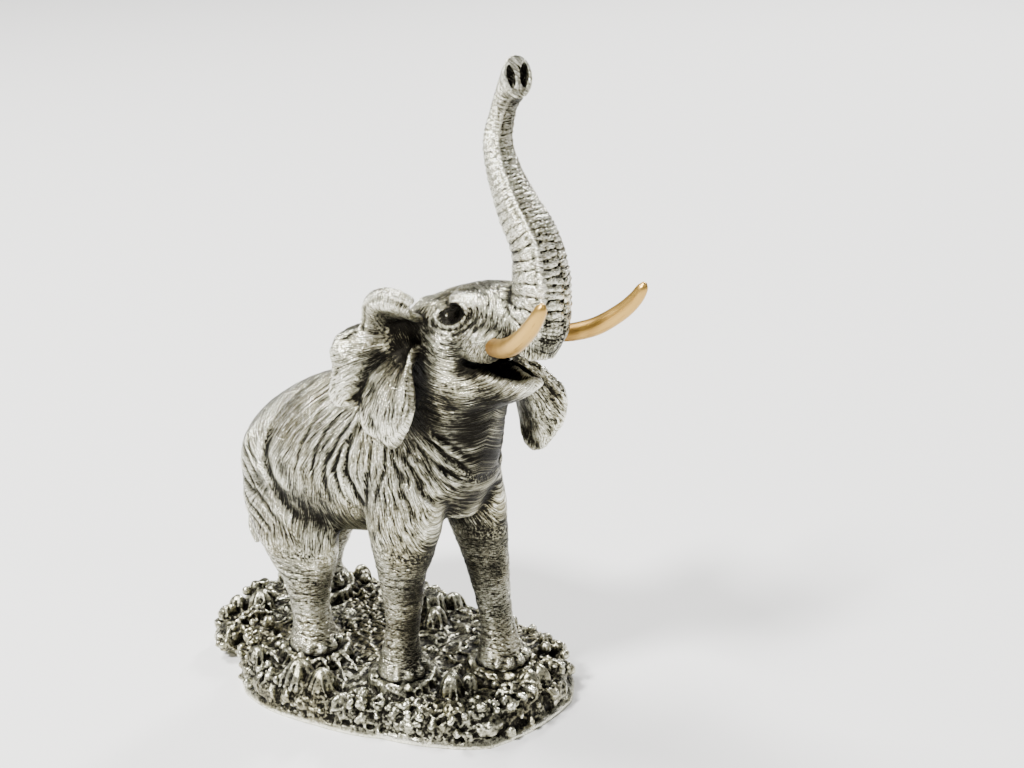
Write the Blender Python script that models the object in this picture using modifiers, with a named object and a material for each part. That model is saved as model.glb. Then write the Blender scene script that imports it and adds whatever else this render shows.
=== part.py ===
"""Trumpeting elephant statuette: a cast figure on a cast ground base, with two inset tusks."""

import math

import bmesh
import bpy
import numpy as np
from mathutils import Matrix, Vector, noise

for old in list(bpy.data.objects):
    bpy.data.objects.remove(old)

# Driving dimensions, in metres
FIGURE_HEIGHT = 0.2740  # soles to the top of the raised trunk
GROUND_HEIGHT = 0.0200  # underside of the base to the soles
GROUND_LIP = 0.0030  # height of the thin lip round the foot of the base
MARGIN_FRONT = 0.0170  # ground beyond the feet, in front of them
MARGIN_BACK = 0.0260
MARGIN_RIGHT = 0.0160
MARGIN_LEFT = 0.0300
FOOT_CLEARANCE = 0.0008  # between a foot and the ground that rises round it
EAR_THICKNESS = 0.0036
TUSK_DIAMETER = 0.0078
TUSK_INSET = 0.0070  # how deep a tusk sits in its socket
JOINT_GAP = 0.0003  # glue line between two castings
MOUND_SPREAD = 0.0060  # how far the earth is pressed up round a foot
TOE_ROOM = 0.0026  # how far the toenails stand out past a sole
BLADE_ROOT = 0.0021  # radius of a grass blade at its root
BLADE_TIP = 0.0010
EARTH_GRAIN = 0.0009  # how rough the ground is
STONE_HEAP = 0.0030  # how much higher a stone lies in the middle of its patch than at the patch's edge
BLADE_SINK = 0.0020  # how deep a grass blade is rooted

# The figure is drawn in sculptor's units: a 274th of its height, measured up from the soles
UNIT = FIGURE_HEIGHT / 274.0

RING_SIDES = 32
STEPS_BETWEEN_STATIONS = 5
FIGURE_VOXEL = 1.15 * UNIT
FIGURE_TRIANGLES = 6050
GROUND_VOXEL = 0.0013
GROUND_TRIANGLES = 1850
GROUND_SIDES = 120
SOLE_DEPTH = 4  # how far the legs run on below the soles before they are cut flat

# Each station of a limb is the two ends of its section in the side view, then its half width, and its place across.
# (y, z) of the front or upper end, (y, z) of the rear or lower end, half width, x
TORSO = [
    (98, 86, 98, 70, 8, 0),
    (95, 94, 95, 58, 17, 0),
    (88, 102, 88, 50, 24.5, 0),
    (78, 110, 78, 47, 28.5, 0),
    (66, 117.5, 66, 48, 30, 0),
    (54, 123.5, 54, 50, 31, 0),
    (40, 126.5, 40, 52, 32, 0),
    (25, 128, 25, 56, 31.5, 0),
    (9, 130, 9, 62, 29.5, 0),
    (-8, 128, -6, 68, 27, 0),
    (-22, 122, -20, 76, 23, 0),
    (-32, 112, -31, 86, 16, 0),
    (-37, 104, -37, 94, 8, 0),
]
NECK = [
    (34, 118, -28, 76, 23, 0),
    (26, 129, -34, 90, 23, 0),
    (14, 140, -39, 104, 22.5, 0),
    (5, 152, -41, 118, 21, 0),
    (0, 163, -44, 130, 20, 0),
    (-4, 171, -44, 138, 19, 0),
]
HEAD = [
    (5, 156, -5, 134, 10, 0),
    (1, 165, -14, 131, 18, 0),
    (-12, 173.5, -24, 133, 21, 0),
    (-28, 180.5, -36, 140, 20, 0),
    (-42, 184, -46, 151, 17.5, 0),
    (-50, 184.5, -56, 155.5, 15.5, 0),
    (-53, 183, -66, 158.5, 13.5, 0),
    (-54, 181, -72, 162.5, 11, 0),
]
JAW = [
    (-20, 147, -18, 127, 14, 0),
    (-33, 149.5, -31, 127, 15.2, 0),
    (-44, 152, -42, 130.5, 14, 0),
    (-52, 151.5, -51, 134.5, 11.6, 0),
    (-58.5, 149.5, -58, 139, 9, 0),
    (-63.5, 149.5, -64, 144, 5.6, 0),
]
# What is taken out of the head for the open mouth: the gap between the lips, and the bowl of the lower lip
MOUTH = [
    [
        (-36, 153.5, -36, 149, 12, 0),
        (-40, 154.6, -40, 149.5, 18, 0),
        (-46, 155, -46, 152.2, 19, 0),
        (-54, 156, -54, 151, 19, 0),
        (-60, 157, -60, 149.2, 18, 0),
        (-68, 158, -68, 149, 16, 0),
        (-76, 159, -76, 149, 14, 0),
    ],
    [
        (-42, 156, -42, 150, 6.5, 0),
        (-48, 156, -48, 146.5, 9.4, 0),
        (-54, 156, -54, 144.5, 8.8, 0),
        (-59, 156, -59, 144.8, 6.8, 0),
        (-62, 156, -62, 146.8, 3.8, 0),
    ],
]
# The trunk's stations also give the turn of each section about the upright, in degrees
TRUNK = [
    (-68, 155, -40, 178, 13, 0, 0),
    (-75, 168, -48, 179, 12.6, 0, 0),
    (-76, 180, -52, 181, 11.2, 0, 0),
    (-75, 193.5, -52.2, 190.5, 10.5, 0, 0),
    (-69, 208.6, -51.5, 198.3, 9.7, 0, 0),
    (-59.6, 220, -45, 212, 8.5, 0, 0),
    (-51.8, 230.2, -39.6, 225.7, 7.0, 0, 0),
    (-48, 240, -37.6, 239, 6.0, 0, 0),
    (-49.4, 250, -41, 252.6, 5.5, 0, -4),
    (-53.5, 256.3, -44.6, 261.2, 5.7, 0, -10),
    (-57, 258, -49.4, 268.8, 6.1, 0, -18),
    (-59.3, 257.8, -55.2, 274.4, 6.5, 0, -25),
]
TRUNK_TURN_Y = -47  # the upright that the trunk's tip is turned about
LEG_FRONT_RIGHT = [
    (-28, 98, 16, 98, 11, -17),
    (-27, 80, 12, 78, 12, -19.5),
    (-22, 64, 9, 64, 11.5, -19.5),
    (-15.5, 50, 6.5, 50, 10, -18.5),
    (-12, 35, 5, 35, 8.4, -17),
    (-9, 22, 6, 22, 7.8, -16),
    (-8.5, 13, 7.5, 13, 8.4, -16),
    (-11, 5, 9.5, 5, 10.3, -16),
    (-12, 0, 10, 0, 10.8, -16),
    (-12, -SOLE_DEPTH, 10, -SOLE_DEPTH, 10.8, -16),
]
LEG_FRONT_LEFT = [
    (-32, 98, 10, 96, 11, 12.5),
    (-32, 80, 6, 78, 11.3, 16),
    (-31, 65, 0, 64, 10.5, 18.5),
    (-30.5, 50, -7, 50, 9.5, 19.5),
    (-31, 35, -13.5, 35, 8.5, 19.5),
    (-33, 22, -18, 22, 8, 19),
    (-35, 13, -19, 13, 8.4, 19),
    (-38.5, 5, -18, 5, 10.3, 19),
    (-40, 0, -17.5, 0, 10.8, 19),
    (-40, -SOLE_DEPTH, -17.5, -SOLE_DEPTH, 10.8, 19),
]
LEG_HIND_RIGHT = [
    (38, 92, 90, 88, 10, -15),
    (34, 70, 92, 66, 12, -18.5),
    (33, 55, 86, 52, 12, -20.5),
    (33.5, 43, 74, 40, 11, -22),
    (36, 32, 62, 30, 9.5, -23.5),
    (38, 22, 57, 20, 8.5, -24),
    (37, 13, 56, 12, 8.6, -24),
    (34, 5, 57, 5, 10.5, -24),
    (33, 0, 57.5, 0, 11, -24),
    (33, -SOLE_DEPTH, 57.5, -SOLE_DEPTH, 11, -24),
]
LEG_HIND_LEFT = [
    (50, 92, 93, 88, 10, 14),
    (52, 70, 97, 66, 11.5, 17),
    (55, 55, 97, 52, 11.5, 18.5),
    (59, 43, 93, 40, 10.5, 20),
    (65, 32, 90, 29, 9.3, 20),
    (70.5, 22, 90, 20, 8.4, 20),
    (74, 13, 92, 12, 8.5, 20),
    (73, 5, 95, 5, 10.3, 20),
    (72.5, 0, 95, 0, 10.8, 20),
    (72.5, -SOLE_DEPTH, 95, -SOLE_DEPTH, 10.8, 20),
]
TAIL = [
    (92, 101, 86, 95, 5, 0),
    (98, 92, 91, 88, 3.8, 0),
    (99.8, 81, 94.3, 79, 3, -1),
    (99, 68, 94.5, 67, 2.6, -4),
    (97.3, 57, 93.3, 57, 2.5, -8.5),
    (96.5, 49, 91, 48, 3.2, -12.5),
    (94.5, 41, 88.5, 41, 3.0, -15.5),
    (89.5, 34, 87, 34, 1.4, -17),
]
LIMBS = {
    "torso": TORSO,
    "neck": NECK,
    "head": HEAD,
    "jaw": JAW,
    "trunk": TRUNK,
    "leg_front_right": LEG_FRONT_RIGHT,
    "leg_front_left": LEG_FRONT_LEFT,
    "leg_hind_right": LEG_HIND_RIGHT,
    "leg_hind_left": LEG_HIND_LEFT,
    "tail": TAIL,
}
LEGS = (LEG_FRONT_RIGHT, LEG_FRONT_LEFT, LEG_HIND_RIGHT, LEG_HIND_LEFT)

# The head is tipped to its left and turned a little to its right, about this point
HEAD_PIVOT = (0, -15, 145)
HEAD_ROLL = 6
HEAD_YAW = -3

# Rounded masses on both sides of the head: centre, then radii
HEAD_MASSES = {
    "cheek": ((12, -26, 145), (9.5, 13, 14)),
    "cheek_lower": ((11, -35, 139.5), (7, 11, 10)),
    "brow": ((14.5, -38, 176), (5, 9, 4.5)),
    "temple": ((14.5, -22, 164), (6, 12, 10)),
    "eyeball": ((19.2, -36.2, 172), (2.4, 3.6, 2.6)),
}
# Flesh round the root of each tusk, as stations: y, z and x of the middle, then the radius
TUSK_SHEATH = [
    (-32, 160, 8.5, 9),
    (-42, 160.6, 11.8, 8.4),
    (-50, 161.6, 14.8, 7.4),
    (-55.5, 162.6, 17, 6.5),
    (-58.6, 163.2, 18.2, 5.6),
]
# The tusk's own line from inside the socket to the tip: x, y, z and the share of its diameter
TUSK = [
    (16.6, -49.5, 161.6, 0.88),
    (18.5, -57, 162.9, 0.9),
    (21.5, -64, 164.6, 0.94),
    (25, -72.5, 168.6, 0.95),
    (28, -81, 175.6, 0.88),
    (29.6, -86, 181.6, 0.77),
    (30.1, -88.6, 186.4, 0.6),
    (30.2, -89.4, 188.7, 0.26),
]
TUSK_SIDES_RESOLUTION = 3
TUSK_STEPS = 2
SOCKET_MOUTH = (18.9, -60.0, 163.2)
SOCKET_MOUTH_RADIUS = 5.1

EYE = (21.2, -36.2, 172)

# An ear is a sheet laid out in rays from its root. Its rim is a list of (y, z) points with how far the ray there is
# lifted from the body; its pleats raise or sink the sheet along a line, each with its height and half width.
RIGHT_EAR = {
    "root": (-17.5, 160),
    "side": -1,
    "rim": [
        (-19.2, 157.5, 0), (-21.7, 153, 1), (-24.7, 146.8, 1), (-27.3, 138.5, 1), (-27, 129.3, 1), (-22.1, 121.5, 0),
        (-17, 117.2, 0), (-12.1, 120.6, -1), (-8.3, 119.4, 0), (-2, 120.5, 0), (2.9, 126, -2), (6, 128.6, -2),
        (13, 128, 0), (15, 133, 1), (12.8, 141.7, 0), (12.5, 147, 0), (13.5, 152, 1), (10.5, 158.5, 1),
        (1, 164.6, -1), (-2, 171, 1), (-6.5, 178.2, 3), (-13.4, 183, 3), (-18.5, 182.6, 2), (-21, 176, -2),
    ],
    "pleats": [
        (4.5, 8.5, [(-18.4, 156.5), (-17, 146.6), (-16.5, 136.7), (-17.5, 129)]),
        (-4.5, 3.2, [(-2.7, 152), (1.5, 141.4), (4.5, 132.7), (4.3, 126)]),
        (-1.8, 2.2, [(-8.6, 128), (-10, 121)]),
        (2.2, 3.4, [(9, 157), (10, 149), (9.5, 141), (11, 133)]),
        (3.5, 4.0, [(-17, 178), (-10, 177), (-5, 170), (-1, 163)]),
        (-6.0, 5.5, [(-17, 167), (-11, 167)]),
    ],
    "profile": [(0, 17), (0.12, 17.5), (0.28, 25), (0.5, 31), (0.72, 34.5), (0.88, 35.5), (1, 33.5)],
}
LEFT_EAR = {
    "root": (-30, 151),
    "side": 1,
    "rim": [
        (-40.6, 136.4, 0), (-44.9, 126.1, 1), (-45.6, 117.5, 2), (-44, 110.3, 2), (-40.2, 103.1, 2), (-35.7, 96.8, 2),
        (-30, 94.5, 1), (-25.5, 99.2, 0), (-23.6, 114.6, -1), (-21.2, 122.3, -2), (-16.4, 125.4, -2), (-10.1, 127.3, 1),
        (-2.5, 131, 3), (1, 139.7, 3), (0, 148.4, 0), (-2.6, 156.8, 1), (-6.6, 164.5, 3), (-14.6, 168.1, 2),
        (-23.9, 162.5, 0),
    ],
    "pleats": [
        (-2.2, 3.5, [(-33, 140), (-35, 126), (-36, 112), (-35, 103)]),
        (1.6, 2.4, [(-43, 128), (-44, 116), (-41, 105)]),
        (-2.5, 3.0, [(-12, 150), (-10, 138), (-14, 128)]),
        (2.0, 4.0, [(-4, 156), (-3, 146), (-5, 134)]),
    ],
    "profile": [(0, 17), (0.12, 18.5), (0.28, 27), (0.5, 32.5), (0.72, 36), (0.88, 38), (1, 37.5)],
}
EAR_STEPS = (26, 44)
EAR_ROOT_REACH = 2
EAR_FULL_REACH = 32  # rays shorter than this stand out less

# Creases of the hide, each with the side it lies on, its half width, its depth and its line as (y, z) points
CREASES = [
    (-1, 2.4, 1.7, [(60, 112), (67, 100), (68, 88), (63, 74), (55, 63), (46, 55)]),
    (1, 2.4, 1.6, [(64, 110), (72, 98), (74, 86), (72, 73), (66, 62), (60, 54)]),
    (-1, 1.8, 1.3, [(88, 96), (80, 86), (70, 78)]),
    (-1, 1.8, 1.3, [(93, 84), (84, 75), (71, 68)]),
    (-1, 1.8, 1.2, [(93, 72), (82, 65), (66, 61)]),
    (1, 1.8, 1.3, [(88, 94), (82, 84), (75, 76)]),
    (1, 1.8, 1.2, [(93, 80), (84, 72), (75, 66)]),
    (-1, 1.8, 1.5, [(14, 118), (17, 100), (17, 84), (14, 70)]),
    (-1, 1.7, 1.4, [(21, 116), (25, 98), (25, 82), (21, 66)]),
    (-1, 1.6, 1.2, [(29, 112), (34, 97), (34, 82), (30, 66)]),
    (1, 1.8, 1.5, [(10, 118), (13, 100), (12, 84), (8, 70)]),
    (1, 1.7, 1.3, [(18, 116), (22, 98), (21, 82), (17, 66)]),
    (-1, 1.7, 1.4, [(-2, 116), (-12, 104), (-22, 92), (-28, 80)]),
    (-1, 1.7, 1.3, [(-14, 122), (-22, 110), (-29, 98), (-32, 88)]),
    (1, 1.7, 1.4, [(-4, 114), (-14, 102), (-24, 90), (-30, 80)]),
    (1, 1.7, 1.3, [(-16, 120), (-24, 108), (-31, 96), (-34, 86)]),
]
# Rings worn into the legs at these heights over the soles
LEG_RINGS = (12, 18, 24.5, 31.5, 39, 47)
LEG_RING_DEPTH = 0.55
LEG_RING_HALF_WIDTH = 1.3
TOENAIL_ANGLES = (-62, -31, 0, 31, 62)

# The trunk's underside is a flat face between two long welts, crossed by ridges; its flanks carry grooves
WELT_ANGLE = 48
WELT_HEIGHT = 1.0
RIDGE_DEPTH = 0.9
RIDGE_PITCH_SHARE = 0.48  # of the trunk's half width there
NOSTRIL = ((0.42, -0.02), (0.30, 0.56))
NOSTRIL_DEPTH = 4.5

# The ground's outline, as angle and reach round its own middle, scaled below to the feet and the margins
OUTLINE_MIDDLE = (9, 28)
OUTLINE = [
    (-172, 56), (-160, 56), (-141, 58), (-131, 63), (-121, 69), (-112, 76), (-106, 80), (-97, 81.5), (-82, 84),
    (-72, 86), (-61, 83), (-56, 80), (-45, 71), (-35, 61), (-10, 49.5), (10, 50), (25, 57.5), (47, 59.5),
    (63, 70), (80, 78), (89, 88), (93, 92), (105, 87), (112, 90), (118, 83), (123, 68), (135, 68), (149, 67),
    (165, 62), (177, 58), (188, 56),
]
# Above the lip the ground rises to its low dome: share of the reach and share of its height
GROUND_LEVEL = 0.8
DOME = [(0.955, 0.45), (0.93, 0.68), (0.86, 0.75), (0.6, GROUND_LEVEL), (0.25, GROUND_LEVEL)]
# Loose stones and buds on the ground, in sculptor's units: x, y, spread, how many, radius
STONES = [
    (-3, 106, 7, 9, 2.6), (46, -36, 8, 10, 2.6), (-27, 73, 4, 6, 2.4), (-40, 76, 8, 8, 2.4), (-48, 36, 7, 7, 2.6),
    (-24, -22, 7, 7, 2.6), (24, 108, 7, 7, 2.6), (48, 60, 7, 7, 2.6), (50, 8, 7, 7, 2.5), (2, 20, 6, 5, 2.2),
    (-2, 62, 6, 5, 2.0), (8, -46, 7, 7, 2.4),
]
# Tufts of grass: x, y, spread, how many blades, height of a blade, how far it leans outwards in degrees
TUFTS = [
    (-8, -23, 4.0, 10, 10, 26), (35, 25, 4.5, 10, 13, 18), (-46, 29, 4.5, 9, 9, 34), (-33, 34, 4, 8, 9, 40),
    (-9, 97, 3.5, 8, 10, 20), (20, -50, 4.5, 10, 10, 28), (36, 96, 4, 9, 10, 24), (50, 34, 4, 8, 9, 28),
]
# Lumps along the ground's edge: how many, share of the reach, share of the height, radius in metres
EDGE_LUMPS = [(44, 0.90, 0.66, 0.0046), (52, 0.945, 0.42, 0.0040)]


def in_frame(x, y, z):
    """A point of the figure, from sculptor's units to metres in the part's frame."""
    return Vector((x * UNIT, y * UNIT, z * UNIT + GROUND_HEIGHT))


def head_turn():
    """How the head sits on the neck."""
    pivot = Matrix.Translation(in_frame(*HEAD_PIVOT))
    yaw = Matrix.Rotation(math.radians(HEAD_YAW), 4, "Z")
    roll = Matrix.Rotation(math.radians(HEAD_ROLL), 4, "Y")
    return pivot @ yaw @ roll @ pivot.inverted()


def smoothstep(low, high, value):
    share = np.clip((value - low) / (high - low), 0, 1)
    return share * share * (3 - 2 * share)


def through(rows, steps):
    """Rows read from a smooth curve through the given rows, with so many steps between two of them."""
    rows = np.array(rows, float)
    padded = np.vstack([2 * rows[0] - rows[1], rows, 2 * rows[-1] - rows[-2]])
    found = []
    for a, b, c, d in zip(padded, padded[1:], padded[2:], padded[3:]):
        for t in np.arange(steps) / steps:
            cubic = 3 * b - a - 3 * c + d
            square = 2 * a - 5 * b + 4 * c - d
            found.append(0.5 * (2 * b + (c - a) * t + square * t**2 + cubic * t**3))
    found.append(rows[-1])
    return np.array(found)


def section(row):
    """The matrix that lays a unit circle on one section of a limb."""
    y1, z1, y2, z2, half_width, x = row[:6]
    high, low = in_frame(x, y1, z1), in_frame(x, y2, z2)
    up, across = (high - low) / 2, Vector((half_width * UNIT, 0, 0))
    along = across.cross(up).normalized() * UNIT
    matrix = Matrix((across, up, along)).transposed().to_4x4()
    matrix.translation = (high + low) / 2
    if len(row) > 6:
        upright = Matrix.Translation(in_frame(0, TRUNK_TURN_Y, 0))
        matrix = upright @ Matrix.Rotation(math.radians(row[6]), 4, "Z") @ upright.inverted() @ matrix
    return matrix


def skin(bm, matrices, sides):
    """A closed body through rings laid on the given sections."""
    rings = []
    for matrix in matrices:
        made = bmesh.ops.create_circle(bm, segments=sides, radius=1, matrix=matrix)
        rings.append(list({e for v in made["verts"] for e in v.link_edges}))
    for ring, following in zip(rings, rings[1:]):
        bmesh.ops.bridge_loops(bm, edges=ring + following)
    for end in (rings[0], rings[-1]):
        bmesh.ops.contextual_create(bm, geom=end)


def as_mesh(name, bm):
    """Ends a bmesh: faces outwards, kept as a mesh."""
    bmesh.ops.recalc_face_normals(bm, faces=bm.faces[:])
    mesh = bpy.data.meshes.new(name)
    bm.to_mesh(mesh)
    bm.free()
    return mesh


def limb(name, rows):
    bm = bmesh.new()
    skin(bm, [section(row) for row in through(rows, STEPS_BETWEEN_STATIONS)], RING_SIDES)
    if name in ("head", "jaw"):
        bmesh.ops.transform(bm, matrix=head_turn(), verts=bm.verts[:])
    return as_mesh(name, bm)


def ball(name, centre, radii, turn=Matrix(), fineness=3):
    """A rounded mass, its centre and radii in sculptor's units."""
    bm = bmesh.new()
    place = turn @ Matrix.Translation(in_frame(*centre)) @ Matrix.Diagonal((*[r * UNIT for r in radii], 1))
    bmesh.ops.create_icosphere(bm, subdivisions=fineness, radius=1, matrix=place)
    return as_mesh(name, bm)


def tusk_sheath(side):
    """The swollen flesh that a tusk grows from."""
    bm = bmesh.new()
    rows = through(TUSK_SHEATH, STEPS_BETWEEN_STATIONS)
    points = [in_frame(side * x, y, z) for y, z, x, radius in rows]
    matrices = []
    for i, (point, row) in enumerate(zip(points, rows)):
        way = points[min(i + 1, len(points) - 1)] - points[max(i - 1, 0)]
        turn = way.to_track_quat("Z", "Y").to_matrix().to_4x4()
        matrices.append(head_turn() @ Matrix.Translation(point) @ turn @ Matrix.Scale(row[3] * UNIT, 4))
    skin(bm, matrices, RING_SIDES)
    return as_mesh("tusk_sheath", bm)


def ear_rays(shape):
    """An ear's rim as rays from its root: the angle, reach and lift of each."""
    y, z, lifts = np.array(shape["rim"], float).T
    y, z = y - shape["root"][0], z - shape["root"][1]
    return np.degrees(np.unwrap(np.arctan2(z, y))), np.hypot(y, z), lifts


def ear(name, shape):
    """An ear: a grid laid out from the root to the rim, pleated, then given its thickness."""
    bm = bmesh.new()
    bmesh.ops.create_grid(bm, x_segments=EAR_STEPS[0], y_segments=EAR_STEPS[1], size=1)
    angles, reaches, lifts = ear_rays(shape)
    shares, heights = zip(*shape["profile"])
    for v in bm.verts:
        out, around = (v.co.x + 1) / 2, (v.co.y + 1) / 2
        angle = angles[0] + around * (angles[-1] - angles[0])
        rim = np.interp(angle, angles, reaches)
        reach = EAR_ROOT_REACH + out * (rim - EAR_ROOT_REACH)
        y = shape["root"][0] + reach * math.cos(math.radians(angle))
        z = shape["root"][1] + reach * math.sin(math.radians(angle))
        x = heights[0] + min(1, rim / EAR_FULL_REACH) ** 0.7 * (np.interp(out, shares, heights) - heights[0])
        x += np.interp(angle, angles, lifts) * float(smoothstep(0.15, 0.8, out))
        for amount, half_width, line in shape["pleats"]:
            gap = line_distance(np.array([[y, z]]), through(line, 3))[0]
            x += amount * math.exp(-((gap / half_width) ** 2))
        v.co = in_frame(shape["side"] * x, y, z)
    sheet = bpy.data.objects.new(name, as_mesh(name, bm))
    wall = sheet.modifiers.new("Thickness", "SOLIDIFY")
    wall.thickness = EAR_THICKNESS
    wall.offset = 0
    return finished(sheet)


def toenails(leg):
    """Nails round the front of one foot."""
    front, _, rear, _, half_width, x = leg[-2]
    middle, half_length = (front + rear) / 2, (rear - front) / 2
    nails = []
    for angle in TOENAIL_ANGLES:
        turn = math.radians(angle)
        centre = (x + 0.93 * half_width * math.sin(turn), middle - 0.93 * half_length * math.cos(turn), 3.0)
        nails.append(ball("toenail", centre, (2.3, 2.3, 3.2)))
    return nails


def finished(thing):
    """The mesh of an object with its modifiers applied; the object itself is removed."""
    bpy.context.scene.collection.objects.link(thing)
    bpy.context.view_layer.update()
    mesh = bpy.data.meshes.new_from_object(thing.evaluated_get(bpy.context.evaluated_depsgraph_get()))
    bpy.data.objects.remove(thing)
    return mesh


def fused(name, meshes, voxel, smoothing, hollows=()):
    """Overlapping closed meshes made one skin and softened, with the hollows taken out of it."""
    bm = bmesh.new()
    for mesh in meshes:
        bm.from_mesh(mesh)
    joined = bpy.data.meshes.new(name)
    bm.to_mesh(joined)
    bm.free()
    thing = bpy.data.objects.new(name, joined)
    remesh = thing.modifiers.new("Fuse", "REMESH")
    remesh.mode = "VOXEL"
    remesh.voxel_size = voxel
    soft = thing.modifiers.new("Blend", "SMOOTH")
    soft.factor = 0.5
    soft.iterations = smoothing
    cutters = [placed(hollow.name, hollow, bpy.context.scene.collection) for hollow in hollows]
    for cutter in cutters:
        taking = thing.modifiers.new(cutter.name, "BOOLEAN")
        taking.operation = "DIFFERENCE"
        taking.solver = "MANIFOLD"
        taking.object = cutter
    if cutters:
        settled = thing.modifiers.new("Settle", "REMESH")
        settled.mode = "VOXEL"
        settled.voxel_size = voxel
    mesh = finished(thing)
    for cutter in cutters:
        bpy.data.objects.remove(cutter)
    return mesh


def thinned(name, mesh, triangles):
    """The same skin carried by fewer triangles."""
    thing = bpy.data.objects.new(name, mesh)
    mesh.calc_loop_triangles()
    fewer = thing.modifiers.new("Thin", "DECIMATE")
    fewer.ratio = triangles / len(mesh.loop_triangles)
    fewer.use_collapse_triangulate = True
    return finished(thing)


def cut_flat(mesh, height):
    """Cuts away what lies below a height and closes the cut with a flat face."""
    bm = bmesh.new()
    bm.from_mesh(mesh)
    everything = bm.verts[:] + bm.edges[:] + bm.faces[:]
    level = Vector((0, 0, height))
    bmesh.ops.bisect_plane(bm, geom=everything, plane_co=level, plane_no=(0, 0, 1), clear_inner=True, dist=1e-6)
    bmesh.ops.holes_fill(bm, edges=[e for e in bm.edges if e.is_boundary], sides=0)
    bmesh.ops.recalc_face_normals(bm, faces=bm.faces[:])
    bm.to_mesh(mesh)
    bm.free()


def line_distance(points, line):
    """The distance of each point from a line of straight pieces."""
    nearest = np.full(len(points), 1e9)
    for a, b in zip(line, line[1:]):
        run = b - a
        share = np.clip(((points - a) @ run) / (run @ run), 0, 1)
        nearest = np.minimum(nearest, np.linalg.norm(points - a - share[:, None] * run, axis=1))
    return nearest


def trunk_carving(points):
    """Ridges, welts and grooves of the trunk, as heights over its skin."""
    rows = through(TRUNK, STEPS_BETWEEN_STATIONS)
    front, rear = rows[:, 0:2], rows[:, 2:4]
    middle = (front + rear) / 2
    half = np.linalg.norm(front - rear, axis=1) / 2
    steps = np.linalg.norm(np.diff(middle, axis=0), axis=1)
    pitch = RIDGE_PITCH_SHARE * (half[1:] + half[:-1]) / 2
    phase = np.concatenate([[0], np.cumsum(steps / pitch)])
    gaps = np.linalg.norm(points[:, None, 1:3] - middle[None], axis=2)
    at = gaps.argmin(axis=1)
    way = np.gradient(middle, axis=0)
    way /= np.linalg.norm(way, axis=1)[:, None]
    offset = points[:, 1:3] - middle[at]
    here = phase[at] + (offset * way[at]).sum(axis=1) / pitch[np.minimum(at, len(pitch) - 1)]
    under = (offset * (front - rear)[at]).sum(axis=1) / (2 * half[at])
    angle = np.degrees(np.abs(np.arctan2(points[:, 0], under)))
    ridge = np.cos(math.tau * here) ** 2
    face = 1 - smoothstep(WELT_ANGLE - 12, WELT_ANGLE - 4, angle)
    flank = smoothstep(WELT_ANGLE + 4, WELT_ANGLE + 16, angle) * (1 - smoothstep(140, 170, angle))
    welt = np.exp(-(((angle - WELT_ANGLE) / 9) ** 2))
    groove = np.cos(math.tau * (here + angle / 200)) ** 8
    height = welt * WELT_HEIGHT - face * RIDGE_DEPTH * (1 - ridge) - flank * 0.7 * RIDGE_DEPTH * groove
    size = np.clip(half[at] / 12, 0.4, 1)
    near = (1 - smoothstep(1.15, 1.5, np.hypot(points[:, 0], np.linalg.norm(offset, axis=1)) / half[at]))
    along = smoothstep(2, 8, at) * (1 - smoothstep(len(rows) - 8, len(rows) - 4, at))
    return height * size * near * along


def carving(points):
    """How far each point of the figure's skin is raised or sunk, in sculptor's units."""
    height = np.where(points[:, 2] > 158, trunk_carving(points), 0)
    for side, half_width, depth, line in CREASES:
        route = through(line, 6)
        gap = line_distance(points[:, 1:3], route)
        on_side = smoothstep(6, 14, side * points[:, 0]) * (points[:, 2] < 124)
        height -= on_side * depth * np.exp(-((gap / half_width) ** 2))
        height += on_side * 0.4 * depth * np.exp(-(((gap - 2.6 * half_width) / (1.2 * half_width)) ** 2))
    for ring in LEG_RINGS:
        slope = points[:, 2] - ring - 0.08 * points[:, 1] * np.sign(points[:, 0])
        height -= LEG_RING_DEPTH * np.exp(-((slope / LEG_RING_HALF_WIDTH) ** 2))
    turn = head_turn()
    for side in (-1, 1):
        eye = (turn @ in_frame(side * EYE[0], EYE[1], EYE[2]) - Vector((0, 0, GROUND_HEIGHT))) / UNIT
        gap = np.linalg.norm(points - np.array(eye), axis=1)
        height -= 1.5 * np.exp(-(((gap - 4.1) / 1.2) ** 2))
        height += 0.7 * np.exp(-(((gap - 6.6) / 1.3) ** 2))
    return height


def carve(mesh):
    """Raises and sinks the skin along its own normals."""
    count = len(mesh.vertices)
    places, normals = np.zeros(count * 3), np.zeros(count * 3)
    mesh.vertices.foreach_get("co", places)
    mesh.vertices.foreach_get("normal", normals)
    places, normals = places.reshape(-1, 3), normals.reshape(-1, 3)
    points = (places - np.array((0, 0, GROUND_HEIGHT))) / UNIT
    places += normals * (carving(points) * UNIT)[:, None]
    mesh.vertices.foreach_set("co", places.ravel())
    mesh.update()


def figure_mesh():
    masses = [limb(name, rows) for name, rows in LIMBS.items()]
    masses += [ear("ear", RIGHT_EAR), ear("ear", LEFT_EAR)]
    for side in (-1, 1):
        masses.append(tusk_sheath(side))
        for name, (centre, radii) in HEAD_MASSES.items():
            masses.append(ball(name, (side * centre[0], *centre[1:]), radii, head_turn()))
    for leg in LEGS:
        masses += toenails(leg)
    mesh = fused("elephant", masses, FIGURE_VOXEL, 4, [limb("jaw", rows) for rows in MOUTH])
    carve(mesh)
    mesh = thinned("elephant", mesh, FIGURE_TRIANGLES)
    cut_flat(mesh, GROUND_HEIGHT)
    return mesh


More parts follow.
